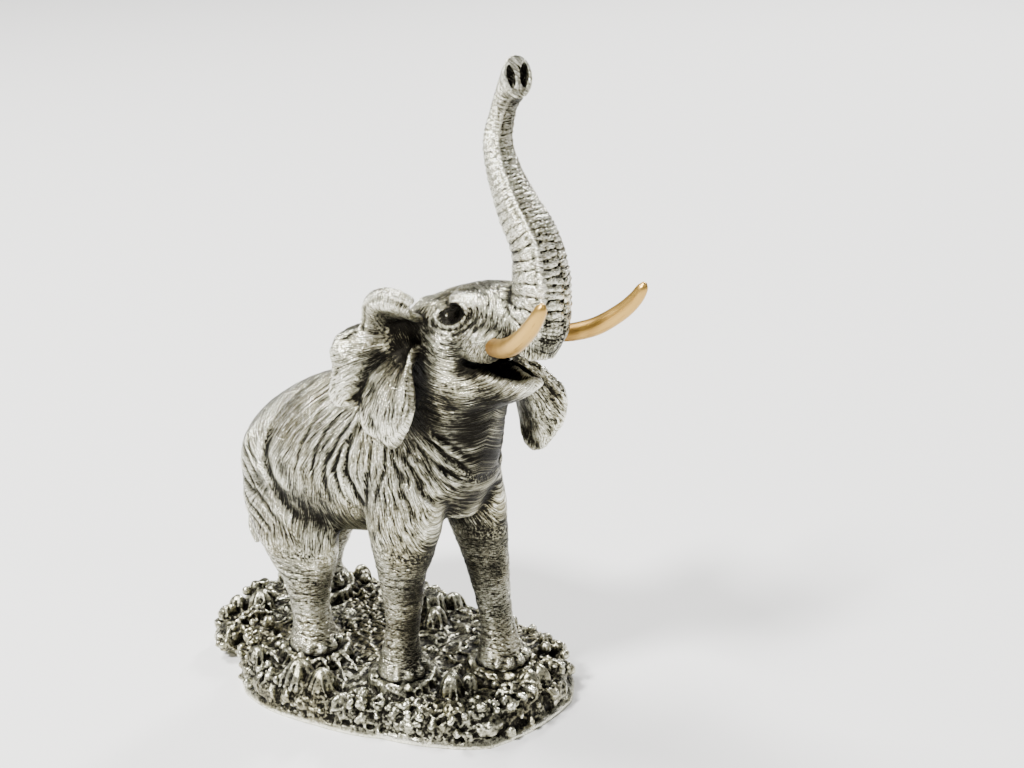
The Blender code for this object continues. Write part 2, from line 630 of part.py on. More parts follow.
def tusk_mesh(name, side, clearance):
    """One tusk as a tapered rod; with a clearance it is the shape of its socket."""
    rows = through(TUSK, TUSK_STEPS)
    curve = bpy.data.curves.new(name, "CURVE")
    curve.dimensions = "3D"
    curve.bevel_depth = TUSK_DIAMETER / 2
    curve.bevel_resolution = TUSK_SIDES_RESOLUTION
    curve.use_fill_caps = True
    spline = curve.splines.new("POLY")
    spline.points.add(len(rows) - 1)
    mouth = in_frame(side * TUSK[1][0], *TUSK[1][1:3])
    inner = in_frame(side * TUSK[0][0], *TUSK[0][1:3])
    start = mouth + (inner - mouth).normalized() * (TUSK_INSET + clearance)
    for i, (point, (x, y, z, share)) in enumerate(zip(spline.points, rows)):
        place = in_frame(side * x, y, z)
        if i <= TUSK_STEPS:
            place = start.lerp(mouth, i / TUSK_STEPS)
        point.co = (*(head_turn() @ place), 1)
        point.radius = share + clearance / curve.bevel_depth
    mesh = finished(bpy.data.objects.new(name, curve))
    bpy.data.curves.remove(curve)
    bm = bmesh.new()
    bm.from_mesh(mesh)
    bmesh.ops.remove_doubles(bm, verts=bm.verts[:], dist=1e-6)
    bmesh.ops.recalc_face_normals(bm, faces=bm.faces[:])
    bm.to_mesh(mesh)
    bm.free()
    mesh.shade_smooth()
    mesh.set_sharp_from_angle(angle=math.radians(50))
    return mesh


def nostril_mesh(side):
    """The hollow of one nostril, laid on the trunk's end section."""
    (across, up), (half_width, half_height) = NOSTRIL
    tip = section(TRUNK[-1])
    bm = bmesh.new()
    shape = Matrix.Diagonal((half_width, half_height, NOSTRIL_DEPTH, 1))
    lean = Matrix.Rotation(math.radians(side * 9), 4, "Z")
    place = tip @ Matrix.Translation((side * across, up, 0)) @ lean @ shape
    bmesh.ops.create_icosphere(bm, subdivisions=2, radius=1, matrix=place)
    return as_mesh("nostril", bm)


def feet():
    """Middle, half width and half length of each sole, in metres."""
    found = []
    for leg in LEGS:
        front, _, rear, _, half_width, x = leg[-2]
        found.append((x * UNIT, (front + rear) / 2 * UNIT, half_width * UNIT, (rear - front) / 2 * UNIT))
    return found


def outline_point(angle):
    """A point of the ground's outline: the free shape, stretched to the feet and their margins."""
    angles, reaches = zip(*OUTLINE)
    turns = np.radians(np.linspace(angles[0], angles[-1], 4 * GROUND_SIDES))
    spread = np.interp(np.degrees(turns), angles, reaches)
    xs = OUTLINE_MIDDLE[0] + spread * np.cos(turns)
    ys = OUTLINE_MIDDLE[1] + spread * np.sin(turns)
    stance = feet()
    low_x = min(x - half for x, _, half, _ in stance) - MARGIN_RIGHT
    high_x = max(x + half for x, _, half, _ in stance) + MARGIN_LEFT
    low_y = min(y - half for _, y, _, half in stance) - MARGIN_FRONT
    high_y = max(y + half for _, y, _, half in stance) + MARGIN_BACK
    turn = (angle - angles[0]) % 360 + angles[0]
    reach = np.interp(turn, angles, reaches)
    x = OUTLINE_MIDDLE[0] + reach * math.cos(math.radians(angle))
    y = OUTLINE_MIDDLE[1] + reach * math.sin(math.radians(angle))
    return Vector((np.interp(x, (xs.min(), xs.max()), (low_x, high_x)),
                   np.interp(y, (ys.min(), ys.max()), (low_y, high_y)), 0))


def ground_middle():
    stance = feet()
    return Vector((sum(x for x, *_ in stance) / len(stance), sum(y for _, y, *_ in stance) / len(stance), 0))


def ground_slab():
    """The body of the base: the outline carried up over a thin lip to a low domed top."""
    bm = bmesh.new()
    middle = ground_middle()
    levels = [(1.0, -0.1 * GROUND_HEIGHT), (1.0, 0.6 * GROUND_LIP), (0.985, GROUND_LIP)]
    levels += [(share, height * GROUND_HEIGHT) for share, height in DOME]
    rings = []
    for share, height in levels:
        made = bmesh.ops.create_circle(bm, segments=GROUND_SIDES, radius=1)
        for i, v in enumerate(made["verts"]):
            v.co = middle + (outline_point(360 * i / GROUND_SIDES) - middle) * share
            v.co.z = height
        rings.append(list({e for v in made["verts"] for e in v.link_edges}))
    for ring, following in zip(rings, rings[1:]):
        bmesh.ops.bridge_loops(bm, edges=ring + following)
    for end in (rings[0], rings[-1]):
        bmesh.ops.contextual_create(bm, geom=end)
    return as_mesh("ground", bm)


def stone(place, radius, flatness):
    bm = bmesh.new()
    shape = Matrix.Translation(place) @ Matrix.Diagonal((radius, radius, radius * flatness, 1))
    bmesh.ops.create_icosphere(bm, subdivisions=2, radius=1, matrix=shape)
    return as_mesh("stone", bm)


def blade(place, height, lean, turn):
    """One blade of grass, a leaning cone."""
    bm = bmesh.new()
    stand = Matrix.Translation(place) @ Matrix.Rotation(turn, 4, "Z") @ Matrix.Rotation(lean, 4, "Y")
    stand = stand @ Matrix.Translation((0, 0, height / 2))
    bmesh.ops.create_cone(bm, cap_ends=True, segments=8, radius1=BLADE_ROOT, radius2=BLADE_TIP, depth=height,
                          matrix=stand)
    return as_mesh("blade", bm)


def scattered(x, y, spread, count):
    """Places spread evenly in a round patch, with each one's share of the way out and its turn."""
    for i in range(count):
        share, turn = math.sqrt((i + 0.5) / count), i * math.radians(137.5)
        middle = Vector((x * UNIT, y * UNIT, 0))
        yield middle + Vector((math.cos(turn), math.sin(turn), 0)) * spread * UNIT * share, share, turn


def foot_mound(x, y, half_width, half_length):
    """Earth pressed up round one foot."""
    bm = bmesh.new()
    base = Matrix.Translation((x, y, 0.5 * GROUND_HEIGHT)) @ Matrix.Diagonal((1, half_length / half_width, 1, 1))
    bmesh.ops.create_cone(bm, cap_ends=True, segments=32, radius1=half_width + 2 * MOUND_SPREAD,
                          radius2=half_width + 0.6 * MOUND_SPREAD, depth=1.02 * GROUND_HEIGHT, matrix=base)
    return as_mesh("mound", bm)


def ground_mesh():
    middle = ground_middle()
    pieces = [ground_slab()] + [foot_mound(*foot) for foot in feet()]
    level = GROUND_LEVEL * GROUND_HEIGHT
    for x, y, spread, count, radius in STONES:
        for place, share, turn in scattered(x, y, spread, count):
            place.z = level + (0.5 - share) * STONE_HEAP
            pieces.append(stone(place, radius * UNIT * (1.2 - 0.4 * share), 0.9))
    for x, y, spread, count, height, lean in TUFTS:
        for place, share, turn in scattered(x, y, 0.5 * spread, count):
            place.z = level - BLADE_SINK
            pieces.append(blade(place, height * UNIT, math.radians(lean) * (0.3 + share), turn))
    for count, reach, height, radius in EDGE_LUMPS:
        for i in range(count):
            edge = outline_point(360 * (i + 0.3 * math.sin(5.1 * i)) / count)
            place = middle + (edge - middle) * (reach - 0.02 * math.sin(2.7 * i))
            place.z = GROUND_HEIGHT * (height + 0.08 * math.sin(1.9 * i))
            pieces.append(stone(place, radius * (1 + 0.2 * math.sin(3.3 * i)), 0.75))
    mesh = fused("ground", pieces, GROUND_VOXEL, 2)
    for v in mesh.vertices:
        rough = noise.noise(v.co * 160) + 0.5 * noise.noise(v.co * 330)
        if v.co.z > GROUND_LIP:
            v.co += v.normal * EARTH_GRAIN * rough
    mesh.update()
    mesh = thinned("ground", mesh, GROUND_TRIANGLES)
    cut_flat(mesh, 0)
    return mesh


def footprint_mesh(x, y, half_width, half_length):
    """The room kept for one foot: everything over its sole, a little wider than the foot."""
    bm = bmesh.new()
    room = 2 * GROUND_HEIGHT
    margin = TOE_ROOM + FOOT_CLEARANCE
    shape = Matrix.Diagonal((half_width + margin, half_length + margin, 1, 1))
    place = Matrix.Translation((x, y, GROUND_HEIGHT - JOINT_GAP + room / 2)) @ shape
    bmesh.ops.create_cone(bm, cap_ends=True, segments=32, radius1=1, radius2=1, depth=room, matrix=place)
    return as_mesh("footprint", bm)


def finish_material(name, colour, roughness, metallic):
    material = bpy.data.materials.new(name)
    material.use_nodes = True
    shader = material.node_tree.nodes["Principled BSDF"]
    shader.inputs["Base Color"].default_value = (*colour, 1)
    shader.inputs["Roughness"].default_value = roughness
    shader.inputs["Metallic"].default_value = metallic
    return material


def placed(name, mesh, collection, material=None):
    thing = bpy.data.objects.new(name, mesh)
    collection.objects.link(thing)
    if material:
        mesh.materials.clear()
        mesh.materials.append(material)
    return thing


def cut(thing, cutters):
    """Takes each cutter's shape out of an object."""
    for cutter in cutters:
        cutter.hide_render = True
        cutter.display_type = "WIRE"
        taking = thing.modifiers.new(cutter.name, "BOOLEAN")
        taking.operation = "DIFFERENCE"
        taking.object = cutter


def build():
    statue = bpy.data.collections.new("elephant_statue")
    cutters = bpy.data.collections.new("cutters")
    for collection in (statue, cutters):
        bpy.context.scene.collection.children.link(collection)
    silver = finish_material("antique silver", (0.55, 0.52, 0.45), 0.38, 0.9)
    dark_silver = finish_material("darkened silver", (0.42, 0.40, 0.34), 0.45, 0.9)
    gold = finish_material("antique gold", (0.62, 0.42, 0.17), 0.33, 0.9)

    elephant = placed("elephant", figure_mesh(), statue, silver)
    hollows = []
    for side, word in ((-1, "right"), (1, "left")):
        placed(f"tusk_{word}", tusk_mesh(f"tusk_{word}", side, 0), statue, gold)
        hollows.append(placed(f"socket_{word}", tusk_mesh("socket", side, JOINT_GAP), cutters))
        mouth = (side * SOCKET_MOUTH[0], *SOCKET_MOUTH[1:])
        collar = ball("collar", mouth, (SOCKET_MOUTH_RADIUS,) * 3, head_turn(), 2)
        hollows.append(placed(f"socket_mouth_{word}", collar, cutters))
        hollows.append(placed(f"nostril_{word}", nostril_mesh(side), cutters))
    cut(elephant, hollows)

    ground = placed("ground_base", ground_mesh(), statue, dark_silver)
    cut(ground, [placed(f"footprint_{i}", footprint_mesh(*foot), cutters) for i, foot in enumerate(feet())])


build()
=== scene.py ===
"""Trumpeting elephant statuette: its castings in fine relief and their antique finishes, over the frame."""

import math

import bmesh
import bpy
import numpy as np
from mathutils import Matrix, Vector
from mathutils.bvhtree import BVHTree
from mathutils.kdtree import KDTree


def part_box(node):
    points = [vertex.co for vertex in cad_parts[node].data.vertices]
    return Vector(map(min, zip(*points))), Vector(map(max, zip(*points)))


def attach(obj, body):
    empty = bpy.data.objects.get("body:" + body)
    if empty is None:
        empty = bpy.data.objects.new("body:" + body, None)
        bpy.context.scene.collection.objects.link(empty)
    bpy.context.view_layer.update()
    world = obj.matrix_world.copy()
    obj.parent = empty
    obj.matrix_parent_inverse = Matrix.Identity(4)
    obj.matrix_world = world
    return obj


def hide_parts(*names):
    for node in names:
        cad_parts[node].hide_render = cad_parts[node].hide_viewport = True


bl_info = {
    "name": "Elephant statuette",
    "version": (1, 0, 0),
    "blender": (4, 5, 0),
    "location": "3D View > Sidebar > Statuette",
    "description": "Casts the elephant, its ground and its tusks in fine relief, with their finishes",
    "category": "Object",
}

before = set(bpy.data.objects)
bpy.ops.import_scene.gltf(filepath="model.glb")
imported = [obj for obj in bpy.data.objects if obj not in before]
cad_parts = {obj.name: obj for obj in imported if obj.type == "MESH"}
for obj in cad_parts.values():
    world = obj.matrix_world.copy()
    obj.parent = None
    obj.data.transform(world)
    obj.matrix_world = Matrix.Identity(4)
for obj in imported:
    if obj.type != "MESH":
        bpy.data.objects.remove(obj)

# The figure is drawn in sculptor's units, measured up from the soles
DRAWN_HEIGHT = 273.4
FEET_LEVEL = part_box("elephant")[0].z
UNIT = (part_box("elephant")[1].z - FEET_LEVEL) / DRAWN_HEIGHT
GROUND_LOW, GROUND_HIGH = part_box("ground_base")

RING_SIDES = 40
STEPS_BETWEEN_STATIONS = 6
SOLE_DEPTH = 4  # how far the legs run on below the soles before they are cut flat

# Each station of a limb is one section of it in the side view: y and z of its front or upper end, y and z of
# its rear or lower end, then its half width and its place across
TORSO = [
    (98, 86, 98, 70, 8, 0),
    (95, 94, 95, 58, 17, 0),
    (88, 102, 88, 50, 24.5, 0),
    (78, 110, 78, 47, 28.5, 0),
    (66, 117.5, 66, 48, 30, 0),
    (54, 123.5, 54, 50, 31, 0),
    (40, 126.5, 40, 52, 32, 0),
    (25, 128, 25, 56, 31.5, 0),
    (9, 130, 9, 62, 29.5, 0),
    (-8, 128, -6, 68, 27, 0),
    (-22, 122, -20, 76, 23, 0),
    (-32, 112, -31, 86, 16, 0),
    (-37, 104, -37, 94, 8, 0),
]
NECK = [
    (34, 118, -28, 76, 23, 0),
    (26, 129, -34, 90, 23, 0),
    (14, 140, -39, 104, 22.5, 0),
    (5, 152, -41, 118, 21, 0),
    (0, 163, -44, 130, 20, 0),
    (-4, 171, -44, 138, 19, 0),
]
HEAD = [
    (5, 156, -5, 134, 10, 0),
    (1, 165, -14, 131, 18, 0),
    (-12, 173.5, -24, 133, 21, 0),
    (-28, 180.5, -36, 140, 20, 0),
    (-42, 184, -46, 151, 17.5, 0),
    (-50, 184.5, -56, 155.5, 15.5, 0),
    (-53, 183, -66, 158.5, 13.5, 0),
    (-54, 181, -72, 162.5, 11, 0),
]
JAW = [
    (-20, 147, -18, 127, 14, 0),
    (-33, 149.5, -31, 127, 15.2, 0),
    (-44, 152, -42, 130.5, 14, 0),
    (-52, 151.5, -51, 134.5, 11.6, 0),
    (-58.5, 149.5, -58, 139, 9, 0),
    (-63.5, 149.5, -64, 144, 5.6, 0),
]
# What is taken out of the head for the open mouth: the gap between the lips, and a bowl beside the tongue,
# which is given for the left side
MOUTH_GAP = [
    (-37, 154.5, -37, 149, 13, 0),
    (-40, 156.2, -40, 147.8, 18.5, 0),
    (-44, 155.6, -44, 150, 19, 0),
    (-50, 155.4, -50, 152.2, 19, 0),
    (-56, 156, -56, 151.2, 19, 0),
    (-61, 157, -61, 149.6, 18, 0),
    (-68, 158, -68, 149, 16, 0),
    (-76, 159, -76, 149, 14, 0),
]
MOUTH_BOWL = [
    (-42, 156, -42, 149, 3.4, 4.4),
    (-48, 156, -48, 147.4, 4.1, 5.2),
    (-54, 156, -54, 146.2, 3.9, 4.9),
    (-59, 156, -59, 146.2, 2.9, 3.7),
    (-62, 156, -62, 147, 1.6, 2.0),
]
# The trunk's stations also give the turn of each section about the upright, in degrees
TRUNK = [
    (-68, 155, -40, 178, 13, 0, 0),
    (-75, 168, -48, 179, 12.6, 0, 0),
    (-76, 180, -52, 181, 11.2, 0, 0),
    (-75, 193.5, -52.2, 190.5, 10.5, 0, 0),
    (-69, 208.6, -51.5, 198.3, 9.7, 0, 0),
    (-59.6, 220, -45, 212, 8.5, 0, 0),
    (-51.8, 230.2, -39.6, 225.7, 7.0, 0, 0),
    (-48, 240, -37.6, 239, 6.0, 0, 0),
    (-49.4, 250, -41, 252.6, 5.5, 0, -4),
    (-53.5, 256.3, -44.6, 261.2, 5.7, 0, -10),
    (-57, 258, -49.4, 268.8, 6.1, 0, -18),
    (-59.3, 257.8, -55.2, 274.4, 6.5, 0, -25),
]
TRUNK_TURN_Y = -47  # the upright that the trunk's tip is turned about
LEG_FRONT_RIGHT = [
    (-28, 98, 16, 98, 11, -17),
    (-27, 80, 12, 78, 12, -19.5),
    (-22, 64, 9, 64, 11.5, -19.5),
    (-15.5, 50, 6.5, 50, 10, -18.5),
    (-12, 35, 5, 35, 8.4, -17),
    (-9, 22, 6, 22, 7.8, -16),
    (-8.5, 13, 7.5, 13, 8.4, -16),
    (-11, 5, 9.5, 5, 10.3, -16),
    (-12, 0, 10, 0, 10.8, -16),
    (-12, -SOLE_DEPTH, 10, -SOLE_DEPTH, 10.8, -16),
]
LEG_FRONT_LEFT = [
    (-32, 98, 10, 96, 11, 12.5),
    (-32, 80, 6, 78, 11.3, 16),
    (-31, 65, 0, 64, 10.5, 18.5),
    (-30.5, 50, -7, 50, 9.5, 19.5),
    (-31, 35, -13.5, 35, 8.5, 19.5),
    (-33, 22, -18, 22, 8, 19),
    (-35, 13, -19, 13, 8.4, 19),
    (-38.5, 5, -18, 5, 10.3, 19),
    (-40, 0, -17.5, 0, 10.8, 19),
    (-40, -SOLE_DEPTH, -17.5, -SOLE_DEPTH, 10.8, 19),
]
LEG_HIND_RIGHT = [
    (38, 92, 90, 88, 10, -15),
    (34, 70, 92, 66, 12, -18.5),
    (33, 55, 86, 52, 12, -20.5),
    (33.5, 43, 74, 40, 11, -22),
    (36, 32, 62, 30, 9.5, -23.5),
    (38, 22, 57, 20, 8.5, -24),
    (37, 13, 56, 12, 8.6, -24),
    (34, 5, 57, 5, 10.5, -24),
    (33, 0, 57.5, 0, 11, -24),
    (33, -SOLE_DEPTH, 57.5, -SOLE_DEPTH, 11, -24),
]
LEG_HIND_LEFT = [
    (50, 92, 93, 88, 10, 14),
    (52, 70, 97, 66, 11.5, 17),
    (55, 55, 97, 52, 11.5, 18.5),
    (59, 43, 93, 40, 10.5, 20),
    (65, 32, 90, 29, 9.3, 20),
    (70.5, 22, 90, 20, 8.4, 20),
    (74, 13, 92, 12, 8.5, 20),
    (73, 5, 95, 5, 10.3, 20),
    (72.5, 0, 95, 0, 10.8, 20),
    (72.5, -SOLE_DEPTH, 95, -SOLE_DEPTH, 10.8, 20),
]
TAIL = [
    (92, 101, 86, 95, 5, 0),
    (98, 92, 91, 88, 3.8, 0),
    (99.8, 81, 94.3, 79, 3, -1),
    (99, 68, 94.5, 67, 2.6, -4),
    (97.3, 57, 93.3, 57, 2.5, -8.5),
    (96.5, 49, 91, 48, 3.2, -12.5),
    (94.5, 41, 88.5, 41, 3.0, -15.5),
    (89.5, 34, 87, 34, 1.4, -17),
]
LIMBS = {
    "torso": TORSO,
    "neck": NECK,
    "head": HEAD,
    "jaw": JAW,
    "trunk": TRUNK,
    "leg_front_right": LEG_FRONT_RIGHT,
    "leg_front_left": LEG_FRONT_LEFT,
    "leg_hind_right": LEG_HIND_RIGHT,
    "leg_hind_left": LEG_HIND_LEFT,
    "tail": TAIL,
}
FORELEGS = (LEG_FRONT_RIGHT, LEG_FRONT_LEFT)
HIND_LEGS = (LEG_HIND_RIGHT, LEG_HIND_LEFT)
LEGS = FORELEGS + HIND_LEGS

# The head is tipped to its left and turned a little to its right, about this point
HEAD_PIVOT = (0, -15, 145)
LIPS_LEVEL = 151.5
HEAD_ROLL = 6
HEAD_YAW = -3

# Rounded masses on both sides of the head: centre, then radii
HEAD_MASSES = {
    "cheek": ((12, -26, 145), (9.5, 13, 14)),
    "cheek_lower": ((11, -35, 139.5), (7, 11, 10)),
    "brow": ((14.5, -38, 176), (5, 9, 4.5)),
    "temple": ((14.5, -22, 164), (6, 12, 10)),
    "eyeball": ((19.0, -34.0, 171), (2.6, 3.4, 2.8)),
}
# Flesh round the root of each tusk, as stations: y, z and x of the middle, then the radius
TUSK_SHEATH = [
    (-32, 160, 8.5, 9),
    (-42, 160.6, 11.8, 8.4),
    (-50, 161.6, 14.8, 7.4),
    (-55.5, 162.6, 17, 6.2),
    (-58.6, 163.2, 18.2, 5.0),
]
# The tusk's own line from inside the socket to the tip: x, y, z and the share of its diameter
TUSK = [
    (16.6, -49.5, 161.6, 0.88),
    (18.5, -57, 162.9, 0.9),
    (21.5, -64, 164.6, 0.94),
    (25, -72.5, 168.6, 0.95),
    (28, -81, 175.6, 0.88),
    (29.6, -86, 181.6, 0.77),
    (30.1, -88.6, 186.4, 0.6),
    (30.2, -89.4, 188.7, 0.26),
]
SOCKET_MOUTH = (18.9, -60.0, 163.2)
EYE = (21.0, -34.0, 171)
EYE_TILT = 24
EYE_SIZE = (5.2, 3.3)
# Rings round the eye: place and half width in the almond's own sizes, then the height
LID_RINGS = [(1.0, 0.22, -1.5), (1.5, 0.22, 0.4)]
POUCH_RINGS = [(1.95, 0.2, -0.5), (2.5, 0.2, -0.35)]  # only below the eye
# The eye's dark patina; its middle is left bright as a painted highlight
EYE_PATINA = 0.97

# An ear is a sheet laid out in rays from its root. Its rim is a list of y, z and how far the ray there is
# lifted from the body. Each pleat has its height, its half width and its line of (y, z) points. The profile
# gives how far the sheet stands from the middle plane at shares of the way out.
RIGHT_EAR = {
    "root": (-17.5, 160),
    "side": -1,
    "rim": [
        (-19.2, 157.5, 0), (-21.7, 153, 1), (-24.7, 146.8, 1), (-27.3, 138.5, 1), (-27, 129.3, 1),
        (-22.1, 121.5, 0), (-17, 117.2, 0), (-12.1, 120.6, -1), (-8.3, 119.4, 0), (-2, 120.5, 0),
        (2.9, 126, -2), (6, 128.6, -2), (13, 128, 0), (15, 133, 1), (12.8, 141.7, 0), (12.5, 147, 0),
        (13.5, 152, 1), (10.5, 158.5, 1), (1, 164.6, -1), (-2, 171, 1), (-6.5, 178.6, 3),
        (-13.4, 183.6, 3), (-20, 184.2, 2), (-25, 180.5, -1),
    ],
    "pleats": [
        (4.5, 8.5, [(-18.4, 156.5), (-17, 146.6), (-16.5, 136.7), (-17.5, 129)]),
        (-4.5, 3.2, [(-2.7, 152), (1.5, 141.4), (4.5, 132.7), (4.3, 126)]),
        (-1.8, 2.2, [(-8.6, 128), (-10, 121)]),
        (2.2, 3.4, [(9, 157), (10, 149), (9.5, 141), (11, 133)]),
        (3.5, 4.0, [(-17, 178), (-10, 177), (-5, 170), (-1, 163)]),
        (-6.0, 5.5, [(-17, 167), (-11, 167)]),
    ],
    "profile": [(0, 17), (0.12, 17.5), (0.28, 25), (0.5, 31), (0.72, 34.5), (0.88, 35.5), (1, 33.5)],
}
LEFT_EAR = {
    "root": (-30, 151),
    "side": 1,
    "rim": [
        (-40.6, 136.4, 0), (-44.9, 126.1, 1), (-45.6, 117.5, 2), (-44, 110.3, 2), (-40.2, 103.1, 2),
        (-35.7, 96.8, 2), (-30, 94.5, 1), (-25.5, 99.2, 0), (-23.6, 114.6, -1), (-21.2, 122.3, -2),
        (-16.4, 125.4, -2), (-10.1, 127.3, 1), (-2.5, 131, 3), (1, 139.7, 3), (0, 148.4, 0),
        (-2.6, 156.8, 1), (-6.6, 164.5, 3), (-14.6, 168.1, 2), (-23.9, 162.5, 0),
    ],
    "pleats": [
        (-2.2, 3.5, [(-33, 140), (-35, 126), (-36, 112), (-35, 103)]),
        (1.6, 2.4, [(-43, 128), (-44, 116), (-41, 105)]),
        (-2.5, 3.0, [(-12, 150), (-10, 138), (-14, 128)]),
        (2.0, 4.0, [(-4, 156), (-3, 146), (-5, 134)]),
    ],
    "profile": [(0, 17), (0.12, 18.5), (0.28, 27), (0.5, 32.5), (0.72, 36), (0.88, 38), (1, 37.5)],
}
EAR_STEPS = (40, 66)
EAR_ROOT_REACH = 2
EAR_FULL_REACH = 32  # rays shorter than this stand out less
EAR_THICKNESS = 3.6
EAR_RIM = (0.5, 0.95)  # the thickened rim's height, and its share of the way out
EAR_HOLLOW = (0.4, 0.86)  # the same for the hollow inside the rim, which is a depth
EAR_RIM_HALF_WIDTH = 0.05

# Folds of the hide on both flanks, each with its half width, its depth and its line as (y, z) points
FOLDS = [
    (2.4, 1.5, [(60.6, 107.6), (65.3, 94.4), (63.2, 84), (57.4, 74.6), (50.7, 67.7), (41.1, 60.6)]),
    (1.1, 0.9, [(87, 95), (79, 88), (69, 83)]),
    (1.1, 1.0, [(88, 88), (79.5, 84), (69.7, 75.8)]),
    (1.0, 0.9, [(90, 81), (81.5, 78), (74.6, 71), (66, 68)]),
    (1.1, 1.0, [(90, 73), (77.7, 70), (66, 65.6), (56.3, 59.6)]),
    (1.0, 0.9, [(90, 66), (79, 63), (68, 58), (60, 54)]),
    (0.9, 0.7, [(88, 60), (77, 57), (66, 52)]),
    (1.4, 1.6, [(6.7, 127.5), (11.2, 117), (15.1, 106), (14.3, 95.5), (10.1, 85), (7.2, 77.5)]),
    (1.1, 1.1, [(10, 124), (15.5, 113), (20, 101), (20, 89), (15, 76)]),
    (1.2, 1.0, [(16.6, 120), (21.3, 108.6), (26, 97), (27, 86), (23, 74)]),
    (1.0, 0.7, [(24, 121), (30, 108), (34, 95), (34, 84)]),
    (1.0, 0.6, [(33, 121), (39, 108), (43, 96), (44, 85)]),
    (1.0, 0.8, [(-2.7, 112.7), (-4.2, 103), (-1.8, 92), (-0.1, 83)]),
    (1.1, 1.0, [(4.1, 113.3), (3.4, 101), (5.2, 90), (5.7, 79)]),
    (1.2, 1.3, [(-18.6, 121.5), (-27.1, 113.7), (-34.3, 106.7), (-36.6, 100.3)]),
    (1.2, 1.4, [(-15.3, 116.2), (-22.6, 109.1), (-31.1, 103.4), (-37.1, 98.1)]),
    (1.1, 1.2, [(-17, 111), (-23.4, 105), (-28.2, 99.5), (-34, 93)]),
    (1.1, 1.0, [(-21.9, 123.7), (-31.5, 116.3), (-38.7, 107.2), (-41, 98.8)]),
    (1.0, 0.9, [(-11, 111), (-18, 102), (-25, 94), (-30, 88)]),
    (1.0, 0.7, [(-6, 108), (-12, 99), (-18, 90), (-22, 82)]),
]
FOLD_DEPTH = 0.68
FOLD_LIP = (0.4, 2.3)  # the raised lip beside a fold: share of its depth, and half widths from its middle
FOLD_LEVELS = (48, 130)
FOLDS_LEFT = (1.5, -1.0)  # how far the left side's folds lie from the right side's, in y and z
# Painted shade, on both sides, where shade falls on the figure: in the mouth, behind the jaw, on the throat
# and chest, round the tusk's root, on the legs and the belly. Its strength, its reach and its middle
PAINTED_SHADE_SPOTS = [
    (0.95, 5.0, (16, -39, 152)),  # the mouth's corner
    (0.5, 4.0, (12, -46, 153)),
    (0.95, 6.5, (19, -13, 166)),  # between the head and the ear, and down behind the jaw
    (0.95, 8.5, (20, -13, 150)),
    (0.95, 9.0, (20, -14, 138)),
    (0.9, 10.0, (17, -20, 126)),
    (0.9, 13.0, (10, -36, 124)),  # the throat and the chest
    (0.8, 17.0, (0, -38, 106)),
    (0.65, 13.0, (6, -34, 90)),
    (0.85, 9.5, (9, -49, 138)),  # under the jaw
    (0.75, 9.0, (12, -40, 136)),
    (0.75, 6.0, (0, -54, 255)),  # under the trunk's tip
    (0.5, 5.0, (0, -51, 245)),
    (0.97, 6.5, (18, -59, 163)),  # round the tusk's root
    (0.9, 4.5, (46, 9.5, 133)),  # the ear's rear lobe
    (0.4, 11.0, (20, -24, 145)),  # the cheek
    (0.55, 8.0, (5, -72, 166)),  # the trunk's root
    (0.7, 15.0, (20, -24, 62)),  # the forelegs
    (0.72, 14.0, (20, -17, 44)),
    (0.72, 12.0, (18, -13, 26)),
    (0.6, 11.0, (17, -12, 12)),
    (0.62, 13.0, (12, -32, 46)),
    (0.62, 12.0, (12, -36, 26)),
    (0.45, 13.0, (31, 38, 32)),  # the hind legs
    (0.4, 17.0, (29, 32, 70)),  # the belly
]
# Painted highlights: places painted brighter and lifted out of the painted shade, on both sides, in the same
# way
PAINTED_HIGHLIGHTS = [
    (0.25, 14.0, (6, -72, 196)),  # up the trunk
    (0.25, 14.0, (6, -62, 214)),
    (0.3, 12.0, (4, -48, 236)),
    (0.6, 6.0, (2, -58, 268)),
    (0.5, 6.0, (6, -58, 146)),  # the lower lip
    (0.35, 16.0, (22, 55, 112)),  # the back
]
LEG_RINGS = (8.5, 12, 15, 18.5, 21.5, 24.5, 28, 31.5, 35, 39, 43, 47, 51.5, 56)
FORELEG_RINGS_TOP, HIND_RINGS_TOP = 60, 44
LEG_RING_DEPTH = 0.38
LEG_RING_HALF_WIDTH = 0.55
TOENAIL_ANGLES = (-62, -31, 0, 31, 62)
NAIL_REACH = 0.93  # of the way to the edge of the sole
NAIL_LEVEL = 3.0
NAIL_RADII = (2.3, 2.3, 3.2)

# The trunk's underside is a flat face between two long welts, crossed by ridges; its flanks carry grooves
WELT_ANGLE = 48
WELT_HEIGHT = 0.9
RIDGE_DEPTH = 1.1
RIDGE_PITCH_SHARE = 0.48  # of the trunk's half width there
RIDGE_VALLEY = 0.13  # half width, as a share of the way from ridge to ridge
RIDGE_WANDER = 0.16
RIDGE_SPLIT = 4.5  # half width in degrees of the slit down the middle of the ridges
FLANK_SLIT_SHARE = 0.95  # of the ridges' depth
WELT_HALF_WIDTH = 6.5
WELT_KNOTS = (0.35, 2.6)  # how much a welt swells, and how often in one ridge
BEAD_HEIGHT = 0.6
SLIM_TRUNK_RELIEF = 0.62  # the share of the relief that the slimmest part of the trunk keeps
NOSTRIL = ((0.42, -0.02), (0.27, 0.52))  # middle and half size, as shares of the trunk's end
NOSTRIL_DEPTH = 1.9
NOSTRIL_LEAN = 9
SOCKET_RADIUS = 4.4

# Wrinkles have a pitch across each region, a run along it, and a depth
WRINKLES = {
    "ear": (1.3, 9, 0.26),
    "trunk": (1.4, 3.5, 0.20),
    "leg": (1.2, 4.5, 0.36),
    "tail": (1.1, 8, 0.35),
    "head": (1.2, 6, 0.32),
    "haunch": (1.2, 13, 0.32),
    "shoulder": (1.2, 11, 0.34),
    "torso": (1.2, 18, 0.30),
}
